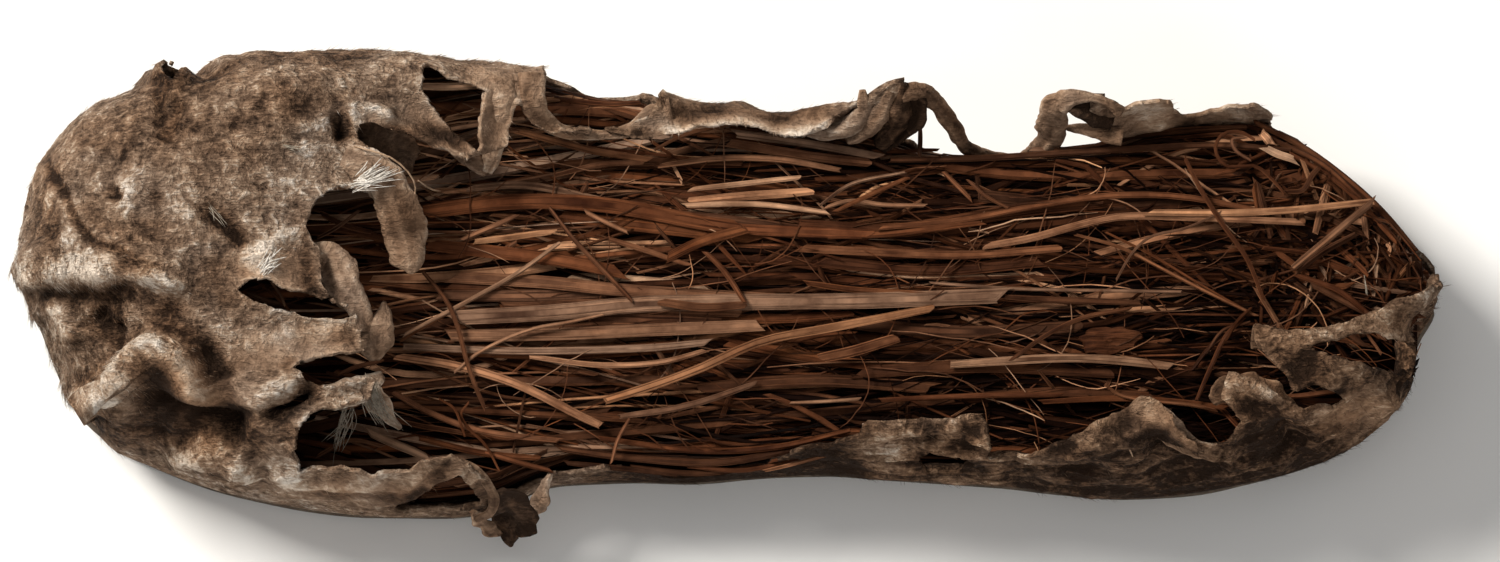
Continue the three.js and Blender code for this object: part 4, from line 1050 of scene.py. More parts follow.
# Strips, tabs and loops of hide: a ribbon along a line, its flat side turned by an angle at each point.
# Each: name, seed, form, and rows of picture x, y, height, half width in millimetres, turn in degrees.
# In each form, the darkening is painted shade where the strip lies in shadow
RIBBONS = [
    ("throat_tab", 1, dict(cup=-0.22, stain_and_shade=0.15), [(346, 156, 46, 2.6, 0), (368, 166, 46, 3.6, 5),
     (388, 184, 45, 4.0, 10), (400, 210, 42, 4.3, 8), (407, 238, 38, 4.3, 4), (410, 258, 36, 3.6, 0),
     (412, 268, 35, 2.2, 0), (412, 273, 34.5, 0.6, 0)]),
    ("throat_loop", 2, dict(cup=-0.14, crumple=0.7, stain_and_shade=0.25), [(312, 264, 43, 2.2, 0),
     (321, 254, 44, 2.8, 0), (330, 256, 44, 3.4, 5), (337, 268, 44, 4.0, 10), (346, 286, 44, 3.7, 12),
     (359, 304, 43, 2.5, 10), (364, 320, 42, 2.1, 0), (364, 332, 42, 2.4, 0)]),
    ("throat_loop_web", 22, dict(cup=0.2, stain_and_shade=0.5, pale=0.05), [(318, 258, 41, 1.6, 0),
     (326, 270, 41, 2.8, 0), (334, 284, 41, 2.6, 0), (344, 296, 41, 1.6, 0)]),
    ("throat_knot", 3, dict(cup=-0.3, stain_and_shade=0.25), [(386, 302, 38, 0.6, 0), (385, 312, 40, 1.7, 10),
     (381, 323, 41, 2.9, 10), (377, 338, 41, 3.6, 5), (376, 350, 40, 3.2, 0), (376, 359, 38, 1.6, 0)]),
    ("lower_tab", 4, dict(cup=-0.2, pale=0.4), [(312, 397, 43, 2.3, 0), (330, 396, 42, 2.4, 0),
     (352, 391, 42, 2.7, 0), (370, 383, 41, 2.2, 0), (384, 375, 39, 1.1, 0)]),
    ("lower_tab_end", 24, dict(cup=-0.2, ragged=0.5, pale=0.5), [(362, 384, 41, 1.6, 0),
     (374, 394, 40, 2.2, 10), (384, 408, 38, 1.8, 10), (394, 420, 36, 1.0, 0), (402, 427, 35, 0.4, 0)]),
    ("strap_fold", 31, dict(cup=0.5, stain_and_shade=0.55, pale=0.0), [(346, 126, 41, 2.0, 0),
     (360, 136, 40, 4.6, 0), (380, 146, 37, 5.2, 0), (400, 155, 33, 4.2, 0), (414, 161, 30, 2.0, 0)]),
    ("inner_v_strap", 5, dict(cup=-0.2), [(500, 80, 43, 3.4, 5), (499, 96, 43, 3.4, 8),
     (497, 118, 41, 2.8, 8), (494, 142, 38, 2.1, 5), (492, 160, 36, 1.8, 0), (487, 172, 35, 1.3, 0)]),
    ("inner_v_tip", 30, dict(cup=-0.2, stain_and_shade=0.3, pale=0.15), [(448, 138, 39, 1.6, 0),
     (464, 152, 37, 2.0, 0), (478, 165, 36, 1.8, 0), (488, 172, 35, 1.2, 0)]),
    ("inner_edge_strap", 23, dict(cup=-0.2, stain_and_shade=0.3), [(533, 74, 43, 2.7, 10), (532, 92, 43, 2.7, 10),
     (538, 112, 41, 2.3, 8), (552, 127, 38, 1.7, 0), (575, 134, 36, 1.2, 0), (604, 135, 35, 1.0, 0),
     (632, 130, 36, 1.3, 0), (652, 116, 37, 2.0, 0), (672, 111, 38, 2.3, 0)]),
    ("outer_loop", 6, dict(cup=-0.4, stain_and_shade=0.35), [(428, 464, 38, 1.2, 0), (452, 461, 38, 1.1, 0),
     (472, 466, 37, 1.0, 10), (487, 480, 35, 1.0, 10), (495, 497, 32, 1.0, 5), (491, 512, 29, 0.9, 0),
     (478, 518, 27, 0.8, 0)]),
    ("outer_flap", 7, dict(cup=0.3, stain_and_shade=1.0, pale=0.1, ragged=0.4), [(500, 492, 26, 1.8, 20),
     (510, 502, 23, 3.6, 25), (516, 514, 18, 4.6, 20), (508, 526, 13, 4.2, 10), (500, 533, 10, 2.0, 0)]),
    ("outer_flap_edge", 8, dict(cup=-0.3, ragged=0.55, stain_and_shade=0.3), [(552, 472, 24, 0.7, 20),
     (546, 484, 23, 1.7, 30), (538, 500, 20, 2.0, 25), (528, 514, 16, 1.6, 10), (518, 530, 11, 1.0, 0)]),
    ("outer_flap_toe", 25, dict(cup=-0.2, ragged=0.6, stain_and_shade=0.45), [(474, 512, 24, 0.6, 0),
     (482, 520, 20, 1.6, 10), (490, 528, 15, 1.6, 10), (500, 533, 11, 0.8, 0)]),
    ("inner_curl_low", 9, dict(cup=-0.4, stain_and_shade=0.15), [(806, 130, 35, 1.4, 0), (830, 132, 35, 1.8, 5),
     (850, 126, 37, 2.0, 15), (866, 112, 40, 2.0, 20), (872, 98, 42, 1.6, 10)]),
    ("inner_curl_mid", 10, dict(cup=-0.4, stain_and_shade=0.3, pale=0.2), [(848, 140, 33, 1.4, 0),
     (864, 130, 36, 2.4, 10), (878, 114, 40, 2.4, 15), (886, 98, 43, 1.8, 10), (890, 92, 44, 0.8, 0)]),
    ("inner_curl_far", 11, dict(cup=-0.4, stain_and_shade=0.75, pale=0.1), [(878, 146, 31, 1.4, 0),
     (888, 134, 34, 2.4, 5), (898, 116, 40, 2.4, 10), (902, 98, 43, 1.8, 10), (904, 84, 45, 0.6, 0)]),
    ("inner_curl_back", 12, dict(cup=0.3, stain_and_shade=1.2, pale=0.0), [(884, 149, 29, 0.8, -20),
     (896, 134, 33, 2.2, -20), (912, 115, 38, 3.3, -15), (918, 97, 43, 2.0, -5)]),
    ("inner_curl_spike", 26, dict(stain_and_shade=0.3), [(864, 116, 39, 1.4, 0), (863, 102, 42, 1.2, 0),
     (862, 91, 43, 0.6, 0)]),
    ("inner_strap", 13, dict(cup=-0.3, stain_and_shade=0.4), [(898, 100, 42, 1.4, 0), (910, 93, 44, 1.7, 10),
     (923, 94, 43, 1.9, 15), (936, 105, 39, 1.9, 15), (953, 128, 33, 1.7, 10), (966, 147, 26, 1.4, 0),
     (986, 155, 20, 1.2, 0), (1008, 158, 14.5, 1.0, 0)]),
    ("inner_loop", 14, dict(cup=-0.15, stain_and_shade=0.3), [(1022, 158, 14.5, 1.0, 0), (1037, 150, 22, 2.0, 0),
     (1049, 136, 29, 2.9, 0), (1052, 119, 35, 3.1, 0), (1055, 106, 39, 2.8, 5), (1070, 99, 42, 1.7, 10),
     (1090, 98, 42, 0.9, 10), (1107, 104, 41, 0.9, 5), (1120, 113, 39, 1.4, 0)]),
    ("inner_loop_back", 15, dict(cup=0.2, stain_and_shade=1.2, pale=0.0), [(1066, 105, 40, 1.2, 0),
     (1080, 108, 40, 2.5, 0), (1097, 112, 38, 3.1, 0), (1113, 118, 36, 2.6, 0)]),
    ("inner_loop_low", 27, dict(cup=-0.2, stain_and_shade=0.35, pale=0.15), [(1067, 128, 31, 0.7, 0),
     (1084, 130, 33, 1.2, 0), (1102, 134, 34, 1.6, 0), (1122, 138, 34, 1.6, 0)]),
    ("heel_lip_front", 16, dict(cup=-0.16, pale=0.4, ragged=0.3), [(1124, 436, 37, 1.2, 0),
     (1138, 421, 39, 2.0, 0), (1154, 419, 40, 2.6, 0), (1172, 433, 39, 2.8, 10), (1190, 446, 37, 2.0, 10),
     (1214, 450, 36, 1.2, 0), (1238, 444, 35, 0.7, 0)]),
    ("heel_lip_back", 17, dict(cup=-0.14, ragged=0.3, stain_and_shade=0.2, pale=0.45), [(1210, 400, 38, 1.4, 0),
     (1224, 390, 40, 2.8, 0), (1246, 390, 41, 3.8, 0), (1268, 399, 40, 3.3, 5), (1284, 410, 38, 2.0, 5),
     (1296, 422, 35, 0.5, 0)]),
    ("heel_strap_end", 18, dict(cup=-0.2, stain_and_shade=0.3), [(1250, 336, 37, 2.4, 0), (1266, 338, 38, 2.5, 0),
     (1294, 340, 39, 1.0, 0), (1322, 336, 40, 1.0, 0)]),
    ("near_flap_edge", 29, dict(cup=-0.25, thick=1.2, pale=0.15), [(862, 426, 37, 0.7, 0),
     (900, 424, 38, 1.0, 0), (944, 427, 38, 1.2, 0), (984, 423, 38, 0.9, 0)]),
]
RIBBON_STEP = 0.6
RIBBON_LEAST_STEPS = 16
RIBBON_ACROSS = 13
RIBBON_THICK = 1.3
RIBBON_CALM = 0.9
# painted shade for the light's fall-off towards the heel
RIBBON_HEEL_PAINTED_SHADE = 0.8 * HEEL_HIDE_PAINTED_SHADE
STREAKS_ACROSS = 2.2
STREAK_LENGTH = 14
STREAK_SEED_STEP = 3.7
STREAK_RISE = 0.55
# Raised parts of the streaks are worn pale with a painted highlight, and their dips get painted shade
STREAK_WEAR_AND_HIGHLIGHT = 0.32
STREAK_SHADE = 0.45
# Noises of a ribbon: amount, size, step from its own seed
RIM = (1.0, 4.0, 0)
RIM_FINE = (0.6, 1.6, 1)
CRUMPLE = (1.1, 5.5, 3)
CRUMPLE_FINE = (0.25, 1.5, 5)
SCUFFS = (0.3, 4.0, 7)
SMUDGES = (1.0, 6.0, 8)
SMUDGE_SHADE = 0.35
CUP_MIDDLE = 0.4
RIM_THINNER = 0.75
RIM_PALER = (0.5, 1.2)  # in the middle, and added at the rim
# The strip's back is less worn, and darker by painted shade
BACK_WEAR = 0.2
BACK_SHADE = 0.3


def ribbon(name, seed, rows, cup=0.0, thick=RIBBON_THICK, ragged=0.22, stain_and_shade=0.0, pale=0.3, crumple=0.5):
    """A strip of hide. Its seed and the seven after it make its own noises."""
    centre = np.array([spot(*row[:3]) for row in rows])
    length = np.linalg.norm(np.diff(centre, axis=0), axis=1).sum()
    n = max(RIBBON_LEAST_STEPS, int(length / RIBBON_STEP))
    t = np.linspace(0, 1, n)
    path = spline(centre, t)
    place = t * (len(rows) - 1)
    half = np.interp(place, range(len(rows)), [row[3] for row in rows])[:, None]
    turn = np.radians(np.interp(place, range(len(rows)), [row[4] for row in rows]))[:, None]
    ahead = unit(np.gradient(path, axis=0))
    side = unit(np.cross(np.broadcast_to([0, -COS_E, SIN_E], ahead.shape), ahead))
    face = np.cross(ahead, side)
    side, face = side * np.cos(turn) + face * np.sin(turn), face * np.cos(turn) - side * np.sin(turn)
    side, face = side[:, None], face[:, None]
    w = np.broadcast_to(np.linspace(-1, 1, RIBBON_ACROSS), (n, RIBBON_ACROSS))
    plain = path[:, None] + side * (half * w)[..., None]

    def own_noise(amount, size, step):
        return waver(plain, amount, size, seed + step)

    uneven = 1 + ragged * (own_noise(*RIM) + own_noise(*RIM_FINE))
    lengthwise = np.broadcast_to(t[:, None] * length / STREAK_LENGTH, w.shape)
    apart = np.full(w.shape, seed * STREAK_SEED_STEP)
    streak = noise_at(np.stack([w * STREAKS_ACROSS, lengthwise, apart], -1), 1.0, seed + 2)
    crumples = own_noise(*CRUMPLE) + STREAK_RISE * streak + own_noise(*CRUMPLE_FINE)
    bend = cup * half * (w**2 - CUP_MIDDLE) + crumple * crumples
    grid = path[:, None] + side * (half * w * uneven)[..., None] + face * bend[..., None]
    rim = np.abs(w) ** 4
    depth = (0.5 * thick * (1 - RIM_THINNER * rim))[..., None]
    loop = np.concatenate([grid + face * depth, (grid - face * depth)[:, ::-1]], axis=1)
    worn_and_lit = pale * (RIM_PALER[0] + RIM_PALER[1] * rim) + STREAK_WEAR_AND_HIGHLIGHT * np.clip(streak, 0, 1)
    worn_and_lit = worn_and_lit + own_noise(*SCUFFS)
    # Darkening: the form's painted shade, painted shade in the streaks' dips, smudges, and painted shade for
    # the light's fall-off towards the heel
    dim = stain_and_shade + STREAK_SHADE * np.clip(-streak, 0, 1) + SMUDGE_SHADE * np.clip(own_noise(*SMUDGES), 0, 1)
    dim = dim + RIBBON_HEEL_PAINTED_SHADE * smooth(path[:, :1], *HEEL_ZONE) * smooth(-path[:, 1:2], *OUTER_ZONE)
    worn_and_lit = np.concatenate([worn_and_lit, BACK_WEAR * worn_and_lit[:, ::-1]], axis=1)
    dim = np.concatenate([dim, BACK_SHADE + dim[:, ::-1]], axis=1)
    made = new_object(name, loop.reshape(-1, 3), tube_faces(n, 2 * RIBBON_ACROSS), HIDE_MAT, floats={
        "wear_and_highlight": np.clip(worn_and_lit, 0, 1).ravel(),
        "stain_and_shade": np.clip(dim, 0, MOST_STAIN_AND_SHADE).ravel(),
        "calm": np.full(worn_and_lit.size, RIBBON_CALM),
    })
    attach(made, "root")


for ribbon_name, ribbon_seed, ribbon_form, ribbon_rows in RIBBONS:
    ribbon(ribbon_name, ribbon_seed, ribbon_rows, **ribbon_form)

# Sole: a plate of hide with a soft, slightly uneven edge
SOLE_STEPS = 360
# Rings from the top of the plate round its edge to its underside: inset, share of the thickness
SOLE_RINGS = [(12, 1.0), (1.0, 1.0), (0.2, 0.85), (0, 0.5), (0.25, 0.15), (1.1, 0.0), (12, 0.0)]
SOLE_DEEPEST = 12
SOLE_WAVER = (0.35, 14.0, 9)
SPINE_POINTS = 60
SPINE_END = 2


def spine_cap(ring, first, start, height, flip):
    """Points down the middle of a ring, and the triangles that close the ring with them."""
    spine = np.linspace(ring[:, 0].min() + SPINE_END, ring[:, 0].max() - SPINE_END, SPINE_POINTS)
    points = [[x, sum(sides_at(x)) / 2, float(sole_bottom(x)) + height] for x in spine]
    place = np.round((ring[:, 0] - spine[0]) / (spine[1] - spine[0])).astype(int)
    near = np.clip(place, 0, SPINE_POINTS - 1)
    faces = []
    for i, (here, there) in enumerate(zip(near, np.roll(near, -1))):
        faces.append([first + i, first + (i + 1) % len(ring), start + there])
        way = 1 if there > here else -1
        faces.extend([first + i, start + k + way, start + k] for k in range(here, there, way))
    return points, [face[::-1] for face in faces] if flip else faces


def make_sole():
    outline = wall_section(np.arange(SOLE_STEPS) / SOLE_STEPS)[:, :2]
    inward = inward_of(outline, 1)
    uneven = waver(np.column_stack([outline, np.zeros(SOLE_STEPS)]), *SOLE_WAVER)
    rings = []
    for inset, share in SOLE_RINGS:
        plan = outline + inward * np.minimum(SOLE_INSET + inset + uneven, SOLE_DEEPEST)[:, None]
        rings.append(np.column_stack([plan, sole_bottom(plan[:, 0]) + share * SOLE]))
    index = np.arange(len(rings) * SOLE_STEPS).reshape(len(rings), SOLE_STEPS)
    nxt = np.roll(index, -1, 1)
    faces = np.stack([index[:-1], index[1:], nxt[1:], nxt[:-1]], -1).reshape(-1, 4).tolist()
    verts = np.concatenate(rings).tolist()
    for ring, height, flip in ((0, SOLE, False), (len(rings) - 1, 0.0, True)):
        points, cap = spine_cap(rings[ring], ring * SOLE_STEPS, len(verts), height, flip)
        verts += points
        faces += cap
    return new_object("hide_sole_plate", verts, faces, SOLE_MAT)


sole = make_sole()
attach(sole, "root")
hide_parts("hide_sole")

# Grass bed: a near-black base standing in for the deep shade under the stalks, then layers of stalks
BED_X = [-140, -110, -75, -30, 30, 90, 125, 142]
BED_Z = [14, 19, 25, 28, 28, 27, 25, 22]
BED_FALL = 6.0
BED_HALF = 40.0
BED_ENDS = (-132, 135.5)
BASE_ENDS = (-133, 135)
BASE_GRID = (120, 40)
BASE_INSET = 4.0
BASE_TAPER = 3
BASE_DOWN = 6.0
BASE_WAVER = (0.8, 5.0, 21)
BASE_CLEAR = 0.4


def bed_top(x, y):
    return np.interp(x, BED_X, BED_Z) - BED_FALL * np.minimum(1, (y / BED_HALF) ** 2)


def make_bed_base():
    """A block under the stalks, with an uneven top, near-black as painted shade in the gaps between them."""
    xs = np.linspace(*BASE_ENDS, BASE_GRID[0])
    s = np.linspace(0, 1, BASE_GRID[1])
    x = np.broadcast_to(xs[:, None], BASE_GRID)
    y0 = (outer_side(xs) + BASE_INSET)[:, None]
    y1 = (inner_side(xs) - BASE_INSET)[:, None]
    y = y0 + (y1 - y0) * s
    top = np.stack([x, y, bed_top(x, y) - BASE_DOWN], -1)
    top[..., 2] += waver(top, *BASE_WAVER)
    low_y = y0 + BASE_TAPER + (y1 - y0 - 2 * BASE_TAPER) * s
    low = np.stack([x, low_y, sole_bottom(x) + SOLE + 2 * GAP + HIDE + BASE_CLEAR], -1)
    a = np.arange(x.size).reshape(BASE_GRID)
    b = a + x.size
    faces = np.stack([a[:-1, :-1], a[1:, :-1], a[1:, 1:], a[:-1, 1:]], -1).reshape(-1, 4).tolist()
    faces += np.stack([b[:-1, :-1], b[:-1, 1:], b[1:, 1:], b[1:, :-1]], -1).reshape(-1, 4).tolist()
    for p, q in ((a[:, 0], b[:, 0]), (a[-1], b[-1]), (a[::-1, -1], b[::-1, -1]), (a[0, ::-1], b[0, ::-1])):
        faces += np.stack([p[:-1], q[:-1], q[1:], p[1:]], -1).tolist()
    verts = np.concatenate([top.reshape(-1, 3), low.reshape(-1, 3)])
    return new_object("grass_bed_base", verts, faces, BED_SHADE_MAT)


bed = make_bed_base()
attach(bed, "root")
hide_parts("grass_bed")

# Stalks
GROOVE_DEPTH = 0.3
END_SLANT = 1.7
END_NOTCH = 1.5
END_SEEDS = ((0, 71.0), (-1, 113.0))
FULL_TURN = 2 * np.pi
HEEL_FROM = 95
# painted shade for the light's fall-off towards the heel
STRAW_HEEL_PAINTED_SHADE = 0.50
DEPTH_PAINTED_SHADE = 0.115  # painted shade: tone lost to each millimetre below the top of the bed
INNER_PALER = 0.15
OUTER_DARKER = 0.17
TONE_SPREAD = 1.25
HEEL_SPREAD = 0.75
FAN_HEEL = 0.0005
FAN_TOE = 0.0055
STALK_RUN = (-125, 130)
SHORTEST = 10


def stalk_mesh(paths, half, flat, roll, tone, seed, sides, taper):
    """Many stems as one mesh. paths: (k, n, 3); half width, flatness, roll, tone and seed per stem."""
    k, n, _ = paths.shape
    ahead = unit(np.gradient(paths, axis=1))
    side = unit(np.cross(ahead, np.broadcast_to([0.0, 0.0, 1.0], ahead.shape)))
    over = np.cross(side, ahead)
    c, s = np.cos(roll)[:, None, None], np.sin(roll)[:, None, None]
    side, over = side * c + over * s, over * c - side * s
    angle = FULL_TURN * (np.arange(sides) + 0.5) / sides - np.pi / 2
    place = np.linspace(0, 1, n)
    width = half[:, None] * (1 - taper[:, None] * np.abs(2 * place[None] - 1) ** 3)
    groove = 1 + GROOVE_DEPTH * np.sin(np.outer(np.floor(seed * 1000), np.arange(sides) + 1.0))
    ring_a = width[..., None] * np.cos(angle)
    ring_b = width[..., None] * (np.sin(angle) * groove * flat[:, None])[:, None, :]
    verts = paths[:, :, None] + side[:, :, None] * ring_a[..., None] + over[:, :, None] * ring_b[..., None]
    for end, turn in END_SEEDS:
        slant = END_SLANT * np.sin(turn * seed)[:, None] * ring_a[:, end]
        from_edge = np.abs(ring_a[:, end]) - 0.5 * half[:, None]
        notch = END_NOTCH * np.sin(1.7 * turn * seed)[:, None] * from_edge
        verts[:, end] += ahead[:, end, None] * (slant + notch)[..., None]
    count = n * sides
    stem = tube_faces(n, sides)
    faces = [[v + i * count for v in face] for i in range(k) for face in stem]
    step = np.linalg.norm(np.diff(paths, axis=1), axis=2)
    run = np.concatenate([np.zeros((k, 1)), np.cumsum(step, axis=1)], axis=1)
    floats = {
        "tone": np.repeat(tone, count),
        "seed": np.repeat(seed, count),
        "along": np.repeat(run.ravel(), sides),
        "around": np.tile(np.abs(np.linspace(-1, 1, sides)), k * n),
    }
    return verts.reshape(-1, 3), faces, floats


def one_stem(path, half, flat, roll, tone, seed, sides, taper):
    each = (np.array([value]) for value in (half, flat, roll, tone, seed))
    return stalk_mesh(path[None], *each, sides, np.array([taper]))


def add_stalks(name, sets, replaces=()):
    verts, faces = joined([(v, f) for v, f, _ in sets])
    floats = {key: np.concatenate([own[key] for _, _, own in sets]) for key in sets[0][2]}
    made = new_object(name, verts, faces, STRAW_MAT, smooth_shade=False, floats=floats)
    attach(made, "root")
    for node_name in replaces:
        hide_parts(node_name)


def scattered(gen, paths, half, flat, roll, tone, sides, taper, tone_shift=0.0, least_tone=0.0):
    """Stems whose half width, flatness, roll, tone, seed and taper are drawn from those ranges."""
    count = len(paths)
    return stalk_mesh(paths, gen.uniform(*half, count), gen.uniform(*flat, count), gen.normal(*roll, count),
                      np.clip(gen.normal(*tone, count) + tone_shift, least_tone, 1), gen.uniform(0, 1, count),
                      sides, gen.uniform(*taper, count))


def across_bed(x, share, edge, both):
    """Place across the bed: clear of the outer side by edge, and of both sides together by both."""
    return outer_side(x) + edge + share * (inner_side(x) - outer_side(x) - both)


def keep_inside(paths, margin, half):
    """Moves points that would leave the shoe back inside its wall."""
    x = paths[..., 0] = np.clip(paths[..., 0], *BED_ENDS)
    paths[..., 1] = np.clip(paths[..., 1], outer_side(x) + margin + half, inner_side(x) - margin - half)
    return paths


def heel_end(y):
    """How far back the outline lies at each place across the foot."""
    back = OUTLINE[OUTLINE[:, 0] > HEEL_FROM]
    back = back[np.argsort(back[:, 1])]
    return np.interp(y, back[:, 1], back[:, 0]) - np.maximum(between(y, DRAWN_HEEL), 0)


def turned(x, y, long, turn, s):
    """Straight bits at places x and y, turned each its own way."""
    reach = long[:, None] * s
    return x[:, None] + reach * np.cos(turn)[:, None], y[:, None] + reach * np.sin(turn)[:, None]


def random_layer(seed, run, count, steps, length, half, lift, slope, bow, tones, sides, flat, rough=0.4):
    """Stalks laid lengthwise, each at a height, slant and tone of its own."""
    gen = np.random.default_rng(seed)
    long = gen.uniform(*length, count)
    middle = gen.uniform(*run, count)
    share = gen.uniform(0.0, 1.0, count)
    s = np.linspace(-0.5, 0.5, steps)
    y_mid = across_bed(np.clip(middle, *STALK_RUN), share, 4, 8)
    end = np.minimum(middle + long / 2, heel_end(y_mid + 2.2) - gen.uniform(0.6, 6.0, count))
    begin = np.minimum(middle - long / 2, end - SHORTEST)
    x = begin[:, None] + (end - begin)[:, None] * (s + 0.5)
    middle = (begin + end) / 2
    tilt = gen.normal(0, slope, count) - FAN_HEEL * y_mid + FAN_TOE * y_mid * smooth(-middle, 0, 45)
    y = y_mid[:, None] + tilt[:, None] * (x - middle[:, None])
    y = y + gen.normal(0, bow, count)[:, None] * (1 - 4 * s**2)
    wave = np.sin(gen.uniform(3, 8, (count, 1)) * s + gen.uniform(0, 6, (count, 1)))
    y = y + rough * gen.normal(0, 1, (count, 1)) * wave
    w = half[0] + (half[1] - half[0]) * gen.uniform(0, 1, count) ** 1.6
    rise = gen.uniform(*lift, count)
    z = rise[:, None] + gen.normal(0, 0.6, (count, 1)) * s * 2
    paths = keep_inside(np.stack([x, y, z], -1), 3.2, w[:, None])
    paths[..., 2] = bed_top(paths[..., 0], paths[..., 1]) + z
    tone = gen.normal(tones[0], TONE_SPREAD * tones[1] * (1 + HEEL_SPREAD * smooth(middle, 0, 60)), count)
    # Darker with depth and towards the heel: painted shade
    tone = tone + DEPTH_PAINTED_SHADE * np.minimum(rise, 0) - STRAW_HEEL_PAINTED_SHADE * smooth(middle, -30, 70)
    tone = tone + INNER_PALER * smooth(y_mid, 4, 22) * smooth(-middle, -20, 30)
    tone = tone - OUTER_DARKER * smooth(-y_mid, 8, 26)
    w = w * (0.45 + 0.55 * smooth(tone, -0.1, 0.25))
    kind = gen.uniform(0, 1, count)
    kind = kind + (0.45 + 0.45 * kind - kind) * smooth(middle, 0, 60)
    return stalk_mesh(paths, w, gen.uniform(*flat, count), gen.normal(0, 0.4, count),
                      np.clip(tone, 0.02, 1), kind, sides, gen.uniform(0.1, 0.6, count))


BED_RUN = (-114, 126)
OPEN_RUN = (-92, 124)
HEEL_RUN = (15, 122)
BROAD_RUN = (8, 116)
LAYERS = {
    "stalks_low": [
        dict(seed=31, run=BED_RUN, count=480, steps=8, length=(50, 150), half=(0.5, 1.5), lift=(-6.6, -3.4),
             slope=0.04, bow=2.0, tones=(0.34, 0.08), sides=5, flat=(0.2, 0.7)),
    ],
    "stalks_middle": [
        dict(seed=32, run=BED_RUN, count=370, steps=10, length=(40, 140), half=(0.3, 1.2), lift=(-4.6, -0.2),
             slope=0.07, bow=2.6, tones=(0.43, 0.15), sides=6, flat=(0.2, 0.6)),
    ],
    "stalks_top": [
        dict(seed=33, run=OPEN_RUN, count=290, steps=12, length=(25, 115), half=(0.25, 1.15),
             lift=(-0.9, 1.5), slope=0.10, bow=3.2, tones=(0.48, 0.19), sides=6, flat=(0.2, 0.6)),
        dict(seed=39, run=HEEL_RUN, count=150, steps=6, length=(9, 36), half=(0.2, 0.75), lift=(-0.5, 1.8),
             slope=0.45, bow=0.8, tones=(0.54, 0.2), sides=6, flat=(0.3, 0.8)),
        dict(seed=34, run=OPEN_RUN, count=110, steps=7, length=(8, 40), half=(0.2, 0.6), lift=(0.2, 2.0),
             slope=0.42, bow=1.5, tones=(0.46, 0.2), sides=5, flat=(0.4, 0.9)),
    ],
    "stalks_fine": [
        dict(seed=37, run=OPEN_RUN, count=430, steps=10, length=(16, 90), half=(0.10, 0.32), lift=(-2.2, 1.7),
             slope=0.15, bow=3.4, tones=(0.50, 0.18), sides=4, flat=(0.4, 1.0), rough=0.8),
    ],
    "stalks_broad": [
        dict(seed=40, run=BROAD_RUN, count=60, steps=12, length=(40, 120), half=(0.8, 1.7), lift=(-1.2, 0.6),
             slope=0.07, bow=3.0, tones=(0.54, 0.15), sides=6, flat=(0.15, 0.4)),
    ],
}
for layer_name, layer_parts in LAYERS.items():
    add_stalks(layer_name, [random_layer(**part) for part in layer_parts])

SIDE_COUNT = 330
SIDE_INNER_SHARE = 0.62
SIDE_LAST_INNER = 103.0
SIDE_LAST_OUTER = 134.0
END_COUNT = 420
STUB_COUNT = 230


def side_layer():
    """Straw packed against the wall, seen where the hide is torn low."""
    gen = np.random.default_rng(35)
    count = SIDE_COUNT
    inner = gen.uniform(0, 1, count) < SIDE_INNER_SHARE
    is_inner = inner[:, None]
    long = gen.uniform(30, 110, count)
    middle = gen.uniform(-60, 128, count)
    s = np.linspace(-0.5, 0.5, 12)
    x = middle[:, None] + long[:, None] * s
    x = np.clip(x, -128, np.where(is_inner, SIDE_LAST_INNER, SIDE_LAST_OUTER))
    share = gen.uniform(0, 1, count)[:, None]
    top = bed_top(x, np.where(is_inner, inner_side(x), outer_side(x))) - 0.5
    low = sole_bottom(x) + 9.0
    z = low + (top - low) * share
    inset = gen.uniform(1.9, 3.4, count)[:, None] + 1.2 * (share < 0.3)
    inset = inset + is_inner * smooth(x, 24, 36) * smooth(-x, -82, -70)
    inset = inset + 0.5 * np.sin(s * gen.uniform(3, 9, (count, 1)) + gen.uniform(0, 6, (count, 1)))
    y = np.where(is_inner, inner_side(x) - inset, outer_side(x) + inset + 0.8)
    return scattered(gen, np.stack([x, y, z], -1), half=(0.5, 1.3), flat=(0.3, 0.7), roll=(1.2, 0.3),
                     tone=(0.30, 0.15), sides=6, taper=(0.1, 0.4), tone_shift=-0.14 * ~inner)


def heel_ends():
    """Ends of the stalks at the heel, where the inner side of the hide is gone."""
    gen = np.random.default_rng(36)
    count = END_COUNT
    back = OUTLINE[(OUTLINE[:, 0] > 98) & (OUTLINE[:, 1] > -3)]
    back = back[np.argsort(back[:, 1])]
    y_end = gen.uniform(-2, 31.5, count)
    x_end = np.interp(y_end + 1.8, back[:, 1], back[:, 0]) - gen.uniform(0.3, 4.5, count)
    long = gen.uniform(8, 40, count)
    s = np.linspace(1, 0, 6)
    slope = gen.normal(0.05, 0.28, count)
    x = x_end[:, None] - long[:, None] * s
    y = y_end[:, None] - (long * slope)[:, None] * s
    y = np.clip(y, outer_side(x) + 4, inner_side(x) - 1.6)
    share = gen.uniform(0, 1, count)
    low = sole_bottom(x) + 9.5
    z = low + (bed_top(x, y) + 0.8 - low) * share[:, None] + gen.normal(0, 0.7, (count, 1)) * s
    # Lower ends paler: painted light that lifts them out of the shade at the heel end
    return scattered(gen, np.stack([x, y, z], -1), half=(0.35, 1.0), flat=(0.4, 0.9), roll=(0, 0.6),
                     tone=(0.30, 0.17), sides=6, taper=(0, 0.3), tone_shift=0.22 * (1 - share))


